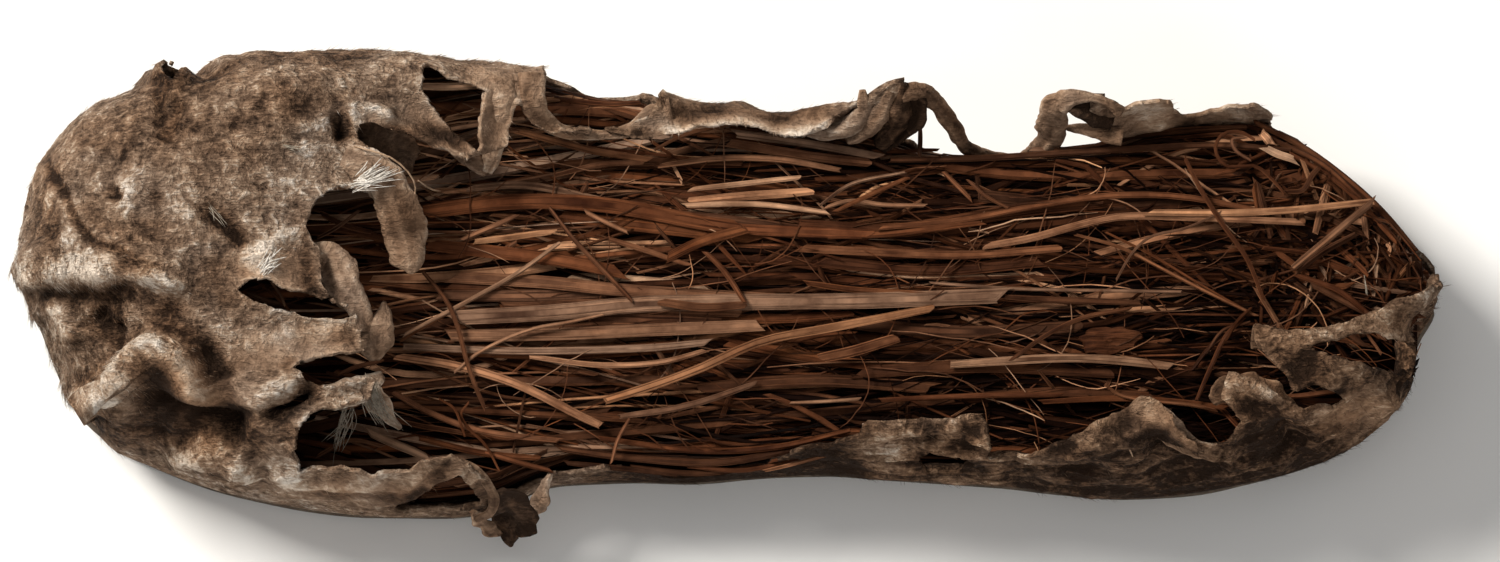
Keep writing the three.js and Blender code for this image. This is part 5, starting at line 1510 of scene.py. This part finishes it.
def heel_stubs():
    """Broken bits and cut ends that make the bed's edge at the heel uneven."""
    gen = np.random.default_rng(38)
    count = STUB_COUNT
    y = gen.uniform(1.5, 26, count)
    x = heel_end(y + 2.0) - gen.uniform(0.4, 6.0, count)
    turn = gen.uniform(-1.5, 2.6, count)
    long = gen.uniform(1.6, 7.5, count)
    s = np.linspace(-0.8, 0.2, 4)
    px, py = turned(x, y, long, turn, s)
    px = np.minimum(px, heel_end(py + 1.6) - 0.4)
    low = sole_bottom(x) + 10.0
    z = low + (bed_top(x, y) + 1.2 - low) * gen.uniform(0, 1, count) ** 0.7
    z = z[:, None] + gen.normal(0, 1.2, (count, 1)) * s
    return scattered(gen, np.stack([px, py, z], -1), half=(0.3, 0.95), flat=(0.4, 1), roll=(0, 0.7),
                     tone=(0.42, 0.18), sides=5, taper=(0, 0.3), least_tone=0.1)


add_stalks("stalks_side", [side_layer(), heel_ends(), heel_stubs()])

# Stalks that show singly, by picture places: line, full width in pixels, tone, height over the bed
SHOWN = [
    ([(248, 293), (266, 300), (284, 304)], 5, 0.55, 3.0),
    ([(260, 284), (276, 296), (290, 309)], 4, 0.50, 4.0),
    ([(272, 282), (282, 296), (286, 306)], 3, 0.60, 5.0),
    ([(300, 440), (330, 446), (352, 452)], 6, 0.50, 2.0),
    ([(318, 456), (350, 440), (384, 446)], 5, 0.58, 2.6),
    ([(340, 374), (360, 366), (384, 360)], 5, 0.48, 2.0),
    ([(322, 214), (346, 226), (372, 232)], 6, 0.46, 2.0),
    ([(318, 238), (340, 226), (360, 210)], 4, 0.55, 3.0),
    ([(425, 212), (500, 203), (560, 202), (620, 207), (700, 222), (740, 228)], 17, 0.47, 2.2),
    ([(470, 188), (530, 186), (600, 200)], 9, 0.60, 2.0),
    ([(430, 245), (500, 253), (560, 260), (620, 272)], 14, 0.46, 2.4),
    ([(462, 240), (490, 228), (518, 215)], 6, 0.58, 3.0),
    ([(475, 242), (520, 236), (555, 232)], 7, 0.70, 3.2),
    ([(405, 335), (470, 300), (520, 272), (560, 243)], 5, 0.64, 4.0),
    ([(402, 340), (440, 318), (478, 296)], 4, 0.52, 3.6),
    ([(424, 272), (447, 300), (458, 325), (468, 362), (478, 390), (486, 408)], 5, 0.45, 4.6),
    ([(455, 277), (540, 282), (620, 290), (700, 295), (790, 300)], 14, 0.55, 2.4),
    ([(440, 295), (520, 296), (610, 292)], 12, 0.52, 2.2),
    ([(455, 318), (560, 312), (640, 304), (740, 302), (860, 301), (1000, 296)], 17, 0.62, 2.8),
    ([(450, 335), (560, 334), (650, 330), (760, 325)], 14, 0.60, 2.4),
    ([(405, 346), (520, 351), (640, 348), (708, 342)], 8, 0.66, 3.0),
    ([(530, 356), (600, 365), (660, 362), (706, 350)], 6, 0.70, 3.2),
    ([(606, 400), (650, 386), (700, 368), (760, 342), (830, 328), (932, 308)], 10, 0.60, 3.8),
    ([(398, 356), (460, 366), (520, 385), (580, 415), (600, 424)], 9, 0.66, 3.4),
    ([(455, 372), (480, 352), (530, 330), (570, 322), (604, 314)], 4, 0.62, 4.2),
    ([(550, 208), (575, 240), (605, 272), (632, 300)], 5, 0.48, 4.0),
    ([(585, 211), (605, 222), (628, 232)], 5, 0.58, 3.6),
    ([(610, 239), (650, 252), (690, 265)], 6, 0.56, 3.2),
    ([(668, 258), (700, 242), (744, 230)], 11, 0.42, 3.0),
    ([(745, 229), (800, 232), (870, 234)], 12, 0.50, 2.6),
    ([(705, 252), (725, 272), (745, 303)], 6, 0.45, 4.2),
    ([(745, 305), (700, 307), (660, 302)], 9, 0.45, 4.0),
    ([(690, 190), (740, 184), (800, 178)], 6, 0.76, 3.2),
    ([(690, 201), (750, 196), (812, 191)], 9, 0.70, 3.0),
    ([(685, 206), (755, 204), (828, 213)], 6, 0.84, 3.4),
    ([(790, 402), (830, 401), (860, 398)], 4, 0.60, 3.0),
    ([(620, 416), (690, 405), (755, 383)], 7, 0.55, 3.0),
    ([(395, 392), (430, 412), (480, 430), (560, 440)], 7, 0.52, 2.8),
    ([(398, 420), (430, 427), (462, 432)], 6, 0.46, 2.6),
    ([(370, 432), (400, 445), (428, 457)], 9, 0.70, 4.0),
    ([(805, 283), (860, 290), (960, 296)], 7, 0.52, 3.0),
    ([(930, 283), (1000, 288), (1080, 290), (1180, 292)], 4, 0.66, 3.2),
    ([(1005, 297), (1060, 300), (1140, 303)], 7, 0.50, 2.6),
    ([(985, 246), (1030, 238), (1075, 226), (1120, 217), (1200, 218), (1300, 222)], 8, 0.76, 3.6),
    ([(1148, 213), (1220, 213), (1290, 210), (1372, 202)], 8, 0.80, 4.2),
    ([(880, 228), (960, 220), (1040, 205), (1110, 196), (1180, 197), (1270, 213)], 7, 0.58, 3.2),
    ([(800, 248), (870, 252), (960, 255), (1060, 248)], 9, 0.56, 2.8),
    ([(830, 236), (900, 232), (980, 222)], 9, 0.46, 2.6),
    ([(968, 180), (985, 196), (1008, 208)], 4, 0.48, 3.6),
    ([(1075, 235), (1120, 248), (1160, 268), (1210, 294), (1255, 316)], 4, 0.62, 4.4),
    ([(1105, 232), (1150, 255), (1200, 285), (1245, 310)], 3, 0.52, 4.2),
    ([(1115, 280), (1132, 252), (1150, 237), (1185, 228), (1220, 212)], 3, 0.62, 4.8),
    ([(950, 364), (1000, 361), (1070, 358), (1130, 361), (1170, 366)], 9, 0.72, 3.0),
    ([(820, 358), (855, 350), (897, 338)], 11, 0.55, 3.4),
    ([(1010, 360), (1045, 335), (1082, 318), (1130, 308)], 5, 0.42, 3.6),
    ([(1195, 400), (1210, 365), (1225, 335), (1242, 318)], 5, 0.36, 4.4),
    ([(1040, 402), (1120, 398), (1180, 402), (1225, 408)], 7, 0.46, 3.0),
    ([(1105, 385), (1120, 395), (1190, 405), (1215, 410)], 4, 0.62, 3.8),
    ([(880, 400), (980, 395), (1060, 395)], 6, 0.50, 3.0),
    ([(890, 160), (980, 158), (1050, 154), (1120, 150), (1220, 145), (1290, 150)], 7, 0.50, 2.6),
    ([(1184, 158), (1200, 190), (1222, 225), (1245, 258), (1262, 300)], 5, 0.46, 5.0),
    ([(1285, 195), (1270, 178), (1255, 166), (1225, 166), (1215, 150), (1222, 135), (1240, 132), (1255, 140)],
     4, 0.55, 4.4),
    ([(1250, 160), (1235, 150), (1232, 140), (1245, 137)], 4, 0.58, 4.2),
    ([(1285, 192), (1302, 190), (1312, 175), (1318, 168)], 6, 0.52, 3.6),
    ([(1372, 202), (1335, 232), (1292, 268)], 8, 0.62, 4.4),
    ([(1355, 234), (1325, 250), (1295, 272)], 7, 0.56, 3.8),
    ([(1262, 133), (1266, 138), (1270, 143)], 9, 1.0, 3.4),
    ([(1265, 148), (1280, 155), (1294, 160)], 8, 1.0, 3.4),
    ([(1255, 122), (1300, 145), (1340, 174), (1380, 210), (1415, 250)], 7, 0.42, 2.0),
    ([(1270, 138), (1320, 163), (1360, 198)], 6, 0.36, 2.6),
    ([(1290, 154), (1340, 184), (1395, 242)], 6, 0.42, 2.4),
    ([(1295, 275), (1335, 290), (1365, 312)], 7, 0.52, 3.4),
    ([(1310, 285), (1350, 305), (1378, 320)], 7, 0.46, 3.2),
    ([(520, 132), (570, 145), (600, 152), (650, 160)], 8, 0.56, 2.6),
    ([(555, 175), (600, 165), (645, 162)], 6, 0.62, 2.8),
    ([(660, 166), (720, 158), (780, 160), (840, 170)], 7, 0.66, 2.6),
    ([(735, 134), (800, 142), (880, 157)], 9, 0.66, 2.8),
    ([(730, 143), (800, 155), (870, 163)], 10, 0.56, 2.4),
    ([(655, 150), (685, 135), (735, 124)], 4, 0.52, 3.6),
    ([(820, 205), (850, 185), (905, 172)], 4, 0.64, 4.0),
    ([(835, 212), (880, 190), (908, 178)], 5, 0.52, 3.4),
    ([(825, 208), (850, 201), (885, 205), (925, 206)], 5, 0.60, 3.4),
    ([(421, 87), (450, 87), (486, 86)], 8, 1.0, 15.0),
    ([(560, 100), (610, 104), (640, 103)], 6, 0.50, 7.0),
    ([(1286, 396), (1310, 394), (1334, 391)], 6, 0.60, 9.0),
    ([(920, 128), (920, 142), (919, 157)], 5, 0.20, 5.0),
    ([(886, 152), (912, 151), (938, 150)], 4, 0.22, 3.4),
    ([(560, 448), (640, 458), (720, 462), (800, 448)], 8, 0.30, 1.6),
    ([(600, 438), (700, 450), (780, 446), (850, 430)], 7, 0.36, 2.0),
    ([(632, 466), (700, 473), (762, 465)], 6, 0.22, 1.0),
    ([(764, 470), (800, 462), (862, 444)], 4, 0.62, 3.0),
    ([(770, 461), (810, 452), (864, 434)], 4, 0.50, 2.6),
    ([(690, 466), (740, 470), (800, 458)], 5, 0.34, 1.6),
    ([(566, 462), (620, 468), (680, 474)], 6, 0.26, 1.0),
    ([(612, 462), (618, 440), (630, 418)], 4, 0.55, 4.0),
    ([(440, 398), (455, 408), (462, 424), (466, 436)], 3, 0.46, 4.4),
    ([(470, 402), (462, 414), (470, 428), (486, 444), (500, 470)], 3, 0.42, 3.8),
    ([(486, 452), (520, 462), (552, 470)], 6, 0.40, 2.6),
    ([(420, 438), (480, 452), (540, 458)], 7, 0.42, 2.4),
    ([(1225, 340), (1235, 322), (1250, 308)], 4, 0.30, 5.0),
    ([(1205, 352), (1222, 330), (1248, 322)], 4, 0.26, 4.6),
    ([(1190, 370), (1212, 344), (1240, 330)], 5, 0.22, 4.2),
    ([(450, 286), (560, 288), (700, 297)], 15, 0.50, 1.4),
    ([(500, 301), (600, 305), (740, 311)], 15, 0.52, 1.6),
    ([(462, 314), (600, 319), (720, 323)], 15, 0.48, 1.2),
    ([(455, 337), (560, 331), (680, 323)], 14, 0.52, 1.4),
    ([(462, 351), (560, 353), (690, 346)], 13, 0.48, 1.2),
    ([(640, 214), (720, 222), (830, 236)], 16, 0.42, 1.6),
    ([(560, 216), (660, 228), (760, 238)], 14, 0.40, 1.2),
    ([(800, 226), (900, 230), (1010, 212), (1120, 200)], 15, 0.34, 1.4),
    ([(980, 196), (1080, 206), (1180, 202)], 14, 0.30, 1.2),
    ([(820, 262), (930, 270), (1040, 262)], 13, 0.32, 1.2),
    ([(840, 322), (960, 332), (1080, 326)], 14, 0.32, 1.2),
    ([(860, 372), (990, 366), (1110, 372)], 14, 0.30, 1.2),
    ([(700, 388), (820, 380), (930, 388)], 13, 0.32, 1.2),
    ([(960, 398), (1060, 392), (1150, 396)], 13, 0.30, 1.2),
]
STALK_NODES = [f"stalk_{i:02d}" for i in range(1, 15)]
# Forms of stem: widths over this, flatness, taper, sides
STEM_FORMS = [(11, 0.2, 0.1, 12), (7, 0.32, 0.14, 12), (0, 0.6, 0.25, 8)]
SHOWN_STEPS = 18
# painted shade for the light's fall-off towards the heel
SHOWN_HEEL_PAINTED_SHADE = 0.12
SETTLE_FROM = 26.0
SETTLE_STEPS = 8


def over_bed(px, py, height):
    """The point that shows at a picture place and lies that far over the bed."""
    z = SETTLE_FROM
    for _ in range(SETTLE_STEPS):
        x, y = spot(px, py, z)[:2]
        z = float(bed_top(x, y)) + height
    return spot(px, py, z)


def shown_stalks():
    gen = np.random.default_rng(41)
    sets = []
    for line, width, tone, lift in SHOWN:
        flat, taper, sides = next(form for least, *form in STEM_FORMS if width > least)
        half = width * PX / 2
        points = np.array([over_bed(px, py, lift + half * 0.4) for px, py in line])
        path = spline(points, np.linspace(0, 1, SHOWN_STEPS))
        path[:, 2] += 0.25 * np.sin(np.linspace(0, 7, SHOWN_STEPS) + gen.uniform(0, 6))
        # Darker towards the heel: painted shade for the light's fall-off
        tone = tone * (1 - SHOWN_HEEL_PAINTED_SHADE * float(smooth(np.mean(path[:, 0]), *HEEL_ZONE)))
        roll, seed = gen.normal(0, 0.15), gen.uniform()
        sets.append(one_stem(path, half, flat, roll, tone, seed, sides, taper))
    return sets


add_stalks("stalks_shown", shown_stalks(), STALK_NODES)

# Short cut ends at the heel, and broken bits between the stalks: count, run, share across, half width, height
CHIPS = [
    (230, (102, 134), (0.30, 0.97), (0.3, 0.85), (-1.0, 2.4)),
    (70, (-60, 120), (0.05, 0.95), (0.25, 0.7), (0.2, 2.0)),
]
FLAKE_AT = (1108, 340, 29.2)
FLAKE_HALF = (6.0, 2.9)
FLAKE_SLANT = 0.07
FLAKE_POINTS = 30
FLAKE_RINGS = [(1.0, -0.3), (0.96, 0.2), (0.6, 0.45), (0.15, 0.3)]  # share of its size, height
FIBRE_COUNT = 260
FIBRE_STEPS = 12


def chips():
    gen = np.random.default_rng(51)
    sets = []
    for count, run, shares, half, lift in CHIPS:
        x = gen.uniform(*run, count)
        y = across_bed(x, gen.uniform(*shares, count), 4, 7)
        turn = gen.uniform(0, FULL_TURN, count)
        long = gen.uniform(3, 14, count)
        s = np.linspace(-0.5, 0.5, 4)
        px, py = turned(x, y, long, turn, s)
        z = bed_top(px, py) + gen.uniform(*lift, count)[:, None] + gen.normal(0, 1.6, (count, 1)) * s
        w = gen.uniform(*half, count)
        px = np.minimum(px, heel_end(py + 2.2) - 0.8)
        paths = keep_inside(np.stack([px, py, z], -1), 2.4, w[:, None])
        sets.append(stalk_mesh(paths, w, gen.uniform(0.4, 1, count), gen.normal(0, 0.6, count),
                               np.clip(gen.normal(0.34, 0.2, count), 0, 1), gen.uniform(0, 1, count), 5,
                               gen.uniform(0, 0.3, count)))
    return sets


def flake():
    """One flat dark flake of leaf on the bed."""
    turn = FULL_TURN * np.arange(FLAKE_POINTS) / FLAKE_POINTS
    rim = 1 + 0.10 * np.sin(3 * turn + 1) + 0.07 * np.sin(7 * turn) + 0.05 * np.sin(11 * turn + 2)
    cx, cy, cz = spot(*FLAKE_AT)
    rings = []
    for share, lift in FLAKE_RINGS:
        x = cx + FLAKE_HALF[0] * share * rim * np.cos(turn)
        y = cy + FLAKE_HALF[1] * share * rim * np.sin(turn) + FLAKE_SLANT * (x - cx)
        rings.append(np.stack([x, y, cz + lift + 0.3 * np.sin(2 * turn)], -1))
    verts = np.concatenate(rings)
    floats = {"tone": np.full(len(verts), 0.30), "seed": np.full(len(verts), 0.55), "along": 3 * verts[:, 0],
              "around": 0.25 * verts[:, 1]}
    return verts, tube_faces(len(rings), FLAKE_POINTS), floats


def fibres():
    """Thin curly fibres over the bed."""
    gen = np.random.default_rng(61)
    count = FIBRE_COUNT
    x0 = gen.uniform(-64, 124, count)
    y0 = across_bed(x0, gen.uniform(0, 1, count), 5, 10)
    heading = gen.normal(0, 0.55, count)
    bend = gen.normal(0, 0.07, count)
    step = gen.uniform(0.8, 2.6, count)
    x, y = [x0], [y0]
    for _ in range(FIBRE_STEPS - 1):
        heading = heading + bend + gen.normal(0, 0.09, count)
        x.append(x[-1] + step * np.cos(heading))
        y.append(y[-1] + step * np.sin(heading))
    x, y = np.stack(x, 1), np.stack(y, 1)
    z = bed_top(x, y) + gen.uniform(1.6, 3.6, count)[:, None]
    z = z + gen.normal(0, 0.6, (count, 1)) * np.linspace(-1, 1, FIBRE_STEPS)
    w = gen.uniform(0.08, 0.18, count)
    paths = keep_inside(np.stack([x, y, z], -1), 3.0, w[:, None])
    return stalk_mesh(paths, w, np.ones(count), np.zeros(count), np.clip(gen.normal(0.42, 0.17, count), 0, 1),
                      gen.uniform(0, 1, count), 4, gen.uniform(0.2, 0.8, count))


add_stalks("straw_chips", [*chips(), flake()])
add_stalks("straw_fibres", [fibres()])

# Frayed locks and loose hairs: picture line with heights, strand count, spread and half width in mm
PALE_LOCKS = [
    ([(354, 188, 47.4), (370, 182, 48), (392, 174, 47.2)], 46, 1.3, 0.11),
    ([(358, 182, 47.4), (372, 173, 48), (384, 168, 47.4)], 18, 0.8, 0.10),
    ([(262, 272, 49.8), (270, 263, 50.2), (278, 256, 50)], 26, 1.1, 0.12),
]
DIM_LOCKS = [
    ([(366, 374, 42.4), (372, 394, 42), (398, 425, 37)], 30, 1.2, 0.11),
    ([(374, 376, 42), (380, 396, 41), (386, 412, 38)], 14, 1.0, 0.10),
    ([(354, 400, 42), (344, 424, 38), (336, 462, 33)], 12, 0.9, 0.10),
    ([(350, 402, 41), (352, 424, 38), (338, 446, 34)], 8, 1.2, 0.09),
    ([(284, 146, 49), (296, 149, 49.2), (304, 152, 49)], 7, 0.6, 0.09),
    ([(212, 206, 49.4), (220, 216, 49.6), (228, 230, 49.4)], 6, 0.7, 0.08),
    ([(1362, 272, 34), (1364, 286, 34.4), (1366, 300, 34)], 2, 0.2, 0.12),
]
LOOSE_FIBRES = [
    ([(352, 146, 47), (366, 150, 48), (390, 157, 48), (406, 168, 47.4), (416, 182, 45.4), (417, 194, 43.6),
      (413, 206, 43)], 1, 0.05, 0.34),
    ([(408, 170, 46.8), (424, 184, 42), (438, 191, 37), (456, 191, 32)], 1, 0.05, 0.30),
    ([(1129, 436, 40.6), (1126, 444, 40.4), (1129, 452, 39.4), (1133, 460, 38.4)], 1, 0.05, 0.2),
]
STRAND_STEPS = 10
STRAND_SHIFT = np.array([1, 1, 0.12])
STRAND_FAN = np.array([1, 1, 0.15])
STRAND_FLAT = 0.8
STRAND_SIDES = 4
STRAND_TAPER = 0.5


def frays(name, locks, material, seed):
    gen = np.random.default_rng(seed)
    strands = []
    s = np.linspace(0, 1, STRAND_STEPS)
    for line, count, spread, half in locks:
        centre = spline(np.array([spot(*p) for p in line]), s)
        for _ in range(count):
            shift = gen.normal(0, spread, 3) * STRAND_SHIFT
            fan = gen.normal(0, spread, 3) * STRAND_FAN
            start, end = gen.uniform(0, 0.3), gen.uniform(0.7, 1.0)
            path = spline(centre, start + (end - start) * s) + 0.5 * shift + fan * (s**1.5)[:, None]
            path[:, 2] += 0.25 * np.sin(s * gen.uniform(3, 8) + gen.uniform(0, 6))
            form = (half * gen.uniform(0.6, 1.2), STRAND_FLAT, 0.0, 0.0, 0.0)
            strands.append(one_stem(path, *form, STRAND_SIDES, STRAND_TAPER))
    made = new_object(name, *joined([(v, f) for v, f, _ in strands]), material)
    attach(made, "root")


frays("frayed_locks", PALE_LOCKS, LOCK_MAT, 71)
frays("frayed_threads", DIM_LOCKS, THREAD_MAT, 72)
frays("loose_fibres", LOOSE_FIBRES, FIBRE_MAT, 73)

# Short hair on the hide, thicker and longer at the front of the toe
HAIR_COUNT = 13000
HAIR_FROM_Z = 11
TOE_THICKER = 3
TOE_LONGER = 0.7
HAIR_LENGTH = (0.9, 2.2)
HAIR_RISE = (0.12, 0.42)
HAIR_HALF = (0.05, 0.10)
HAIR_ROOT = 0.15
SWIRL = (1.6, 22.0, 8)
SWIRL_MEAN = -0.7
HAIR_FACES = ([0, 1, 2], [0, 3, 1], [1, 3, 2], [2, 3, 0])
THICKER_ZONE = ((112, 124), (-10, 4))  # towards the toe, and towards the outer side
LONGER_ZONE = ((108, 124), (-12, 6))
TOE_OUTER_END = (-27, -19)


def at_toe(points, forward, outward):
    """1 at the front of the toe, 0 away from it."""
    x, y, _ = points.T
    return smooth(-x, *forward) * smooth(-y, *outward) * smooth(y, *TOE_OUTER_END)


def make_hair():
    gen = np.random.default_rng(81)
    count = HAIR_COUNT
    tri = np.array(UPPER_FACES)
    a, b, c = (UPPER_VERTS[tri[:, i]] for i in range(3))
    cross = np.cross(b - a, c - a)
    area = np.linalg.norm(cross, axis=1) / 2
    weight = area * (a[:, 2] > HAIR_FROM_Z) * (1 + TOE_THICKER * at_toe(a, *THICKER_ZONE))
    pick = gen.choice(len(tri), count, p=weight / weight.sum())
    r1, r2 = np.sqrt(gen.uniform(0, 1, (count, 1))), gen.uniform(0, 1, (count, 1))
    root = a[pick] * (1 - r1) + b[pick] * (r1 * (1 - r2)) + c[pick] * (r1 * r2)
    normal = unit(cross[pick])
    swirl = waver(root, *SWIRL) + SWIRL_MEAN
    flow = np.stack([np.cos(swirl), np.sin(swirl), np.full(count, -0.2)], -1)
    flow = unit(flow - normal * np.sum(flow * normal, axis=1, keepdims=True))
    across = np.cross(normal, flow)
    long = (gen.uniform(*HAIR_LENGTH, count) * (1 + TOE_LONGER * at_toe(root, *LONGER_ZONE)))[:, None]
    rise = gen.uniform(*HAIR_RISE, (count, 1))
    wide = gen.uniform(*HAIR_HALF, (count, 1))
    flow = flow + across * gen.normal(0, 0.25, (count, 1))
    foot = root - normal * HAIR_ROOT
    back = foot + normal * (1.6 * wide) + flow * 0.1
    tip = root + flow * long + normal * (long * rise)
    verts = np.stack([foot + across * wide, foot - across * wide, back, tip], 1).reshape(-1, 3)
    first = np.arange(count)[:, None] * 4
    faces = np.concatenate([first + np.array(face) for face in HAIR_FACES])
    under = {key: values[tri[pick, 0]] for key, values in UPPER_TONES.items()}
    under["wear_and_highlight"] = np.clip(0.5 * under["wear_and_highlight"] + gen.normal(0.18, 0.22, count), 0, 1)
    tones = {key: np.repeat(values, 4) for key, values in under.items()}
    made = new_object("hide_hair", verts, faces, HIDE_MAT, floats=tones)
    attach(made, "root")


make_hair()

# Floor, light and camera
FLOOR_REACH = 4.0
LIGHT_AIM = (0, 0, 0.02)
# Lights: name, place, size, power, colour
LIGHTS = [
    ("key", (-1.20, 0.74, 1.33), 0.65, 58, (1.0, 0.955, 0.89)),
    ("fill", (0.5, -1.1, 0.9), 0.9, 6.5, (1.0, 0.97, 0.94)),
    ("top", (0.0, 0.1, 1.6), 1.2, 3.6, (1.0, 0.98, 0.96)),
]
SKY_STRENGTH = 0.11
SENSOR = 36

floor_material = bpy.data.materials.new("floor")
floor_material.use_nodes = True
floor_shader = floor_material.node_tree.nodes["Principled BSDF"]
floor_shader.inputs["Base Color"].default_value = (0.88, 0.88, 0.87, 1)
floor_shader.inputs["Roughness"].default_value = 0.9
floor_mesh = bpy.data.meshes.new("floor")
floor_corners = [(x * FLOOR_REACH, y * FLOOR_REACH, 0) for x, y in ((-1, -1), (1, -1), (1, 1), (-1, 1))]
floor_mesh.from_pydata(floor_corners, [], [(0, 1, 2, 3)])
floor_mesh.materials.append(floor_material)
floor = bpy.data.objects.new("floor", floor_mesh)
bpy.context.scene.collection.objects.link(floor)


def area_light(name, place, size, power, colour):
    data = bpy.data.lights.new(name, "AREA")
    data.size = size
    data.energy = power
    data.color = colour
    made = bpy.data.objects.new(name, data)
    made.location = place
    made.rotation_euler = (Vector(LIGHT_AIM) - Vector(place)).to_track_quat("-Z", "Y").to_euler()
    bpy.context.scene.collection.objects.link(made)


for light in LIGHTS:
    area_light(*light)
world = bpy.data.worlds.new("soft")
world.use_nodes = True
world.node_tree.nodes["Background"].inputs["Color"].default_value = (1, 1, 1, 1)
world.node_tree.nodes["Background"].inputs["Strength"].default_value = SKY_STRENGTH
bpy.context.scene.world = world
bpy.context.scene.view_settings.view_transform = "Standard"

camera_data = bpy.data.cameras.new("camera")
camera_data.sensor_width = SENSOR
camera_data.lens = SENSOR * CAMERA_AWAY / (PICTURE[0] * PX)
camera_data.clip_end = 20
camera = bpy.data.objects.new("camera", camera_data)
mid_u, mid_v = plane(PICTURE[0] / 2, PICTURE[1] / 2)
target = Vector((mid_u, mid_v / SIN_E, MID_Z)) * MM
toward = Vector((0, -COS_E, SIN_E))
camera.location = target + toward * CAMERA_AWAY * MM
camera.rotation_mode = "QUATERNION"
camera.rotation_quaternion = (-toward).to_track_quat("-Z", "Y")
bpy.context.scene.collection.objects.link(camera)
bpy.context.scene.camera = camera
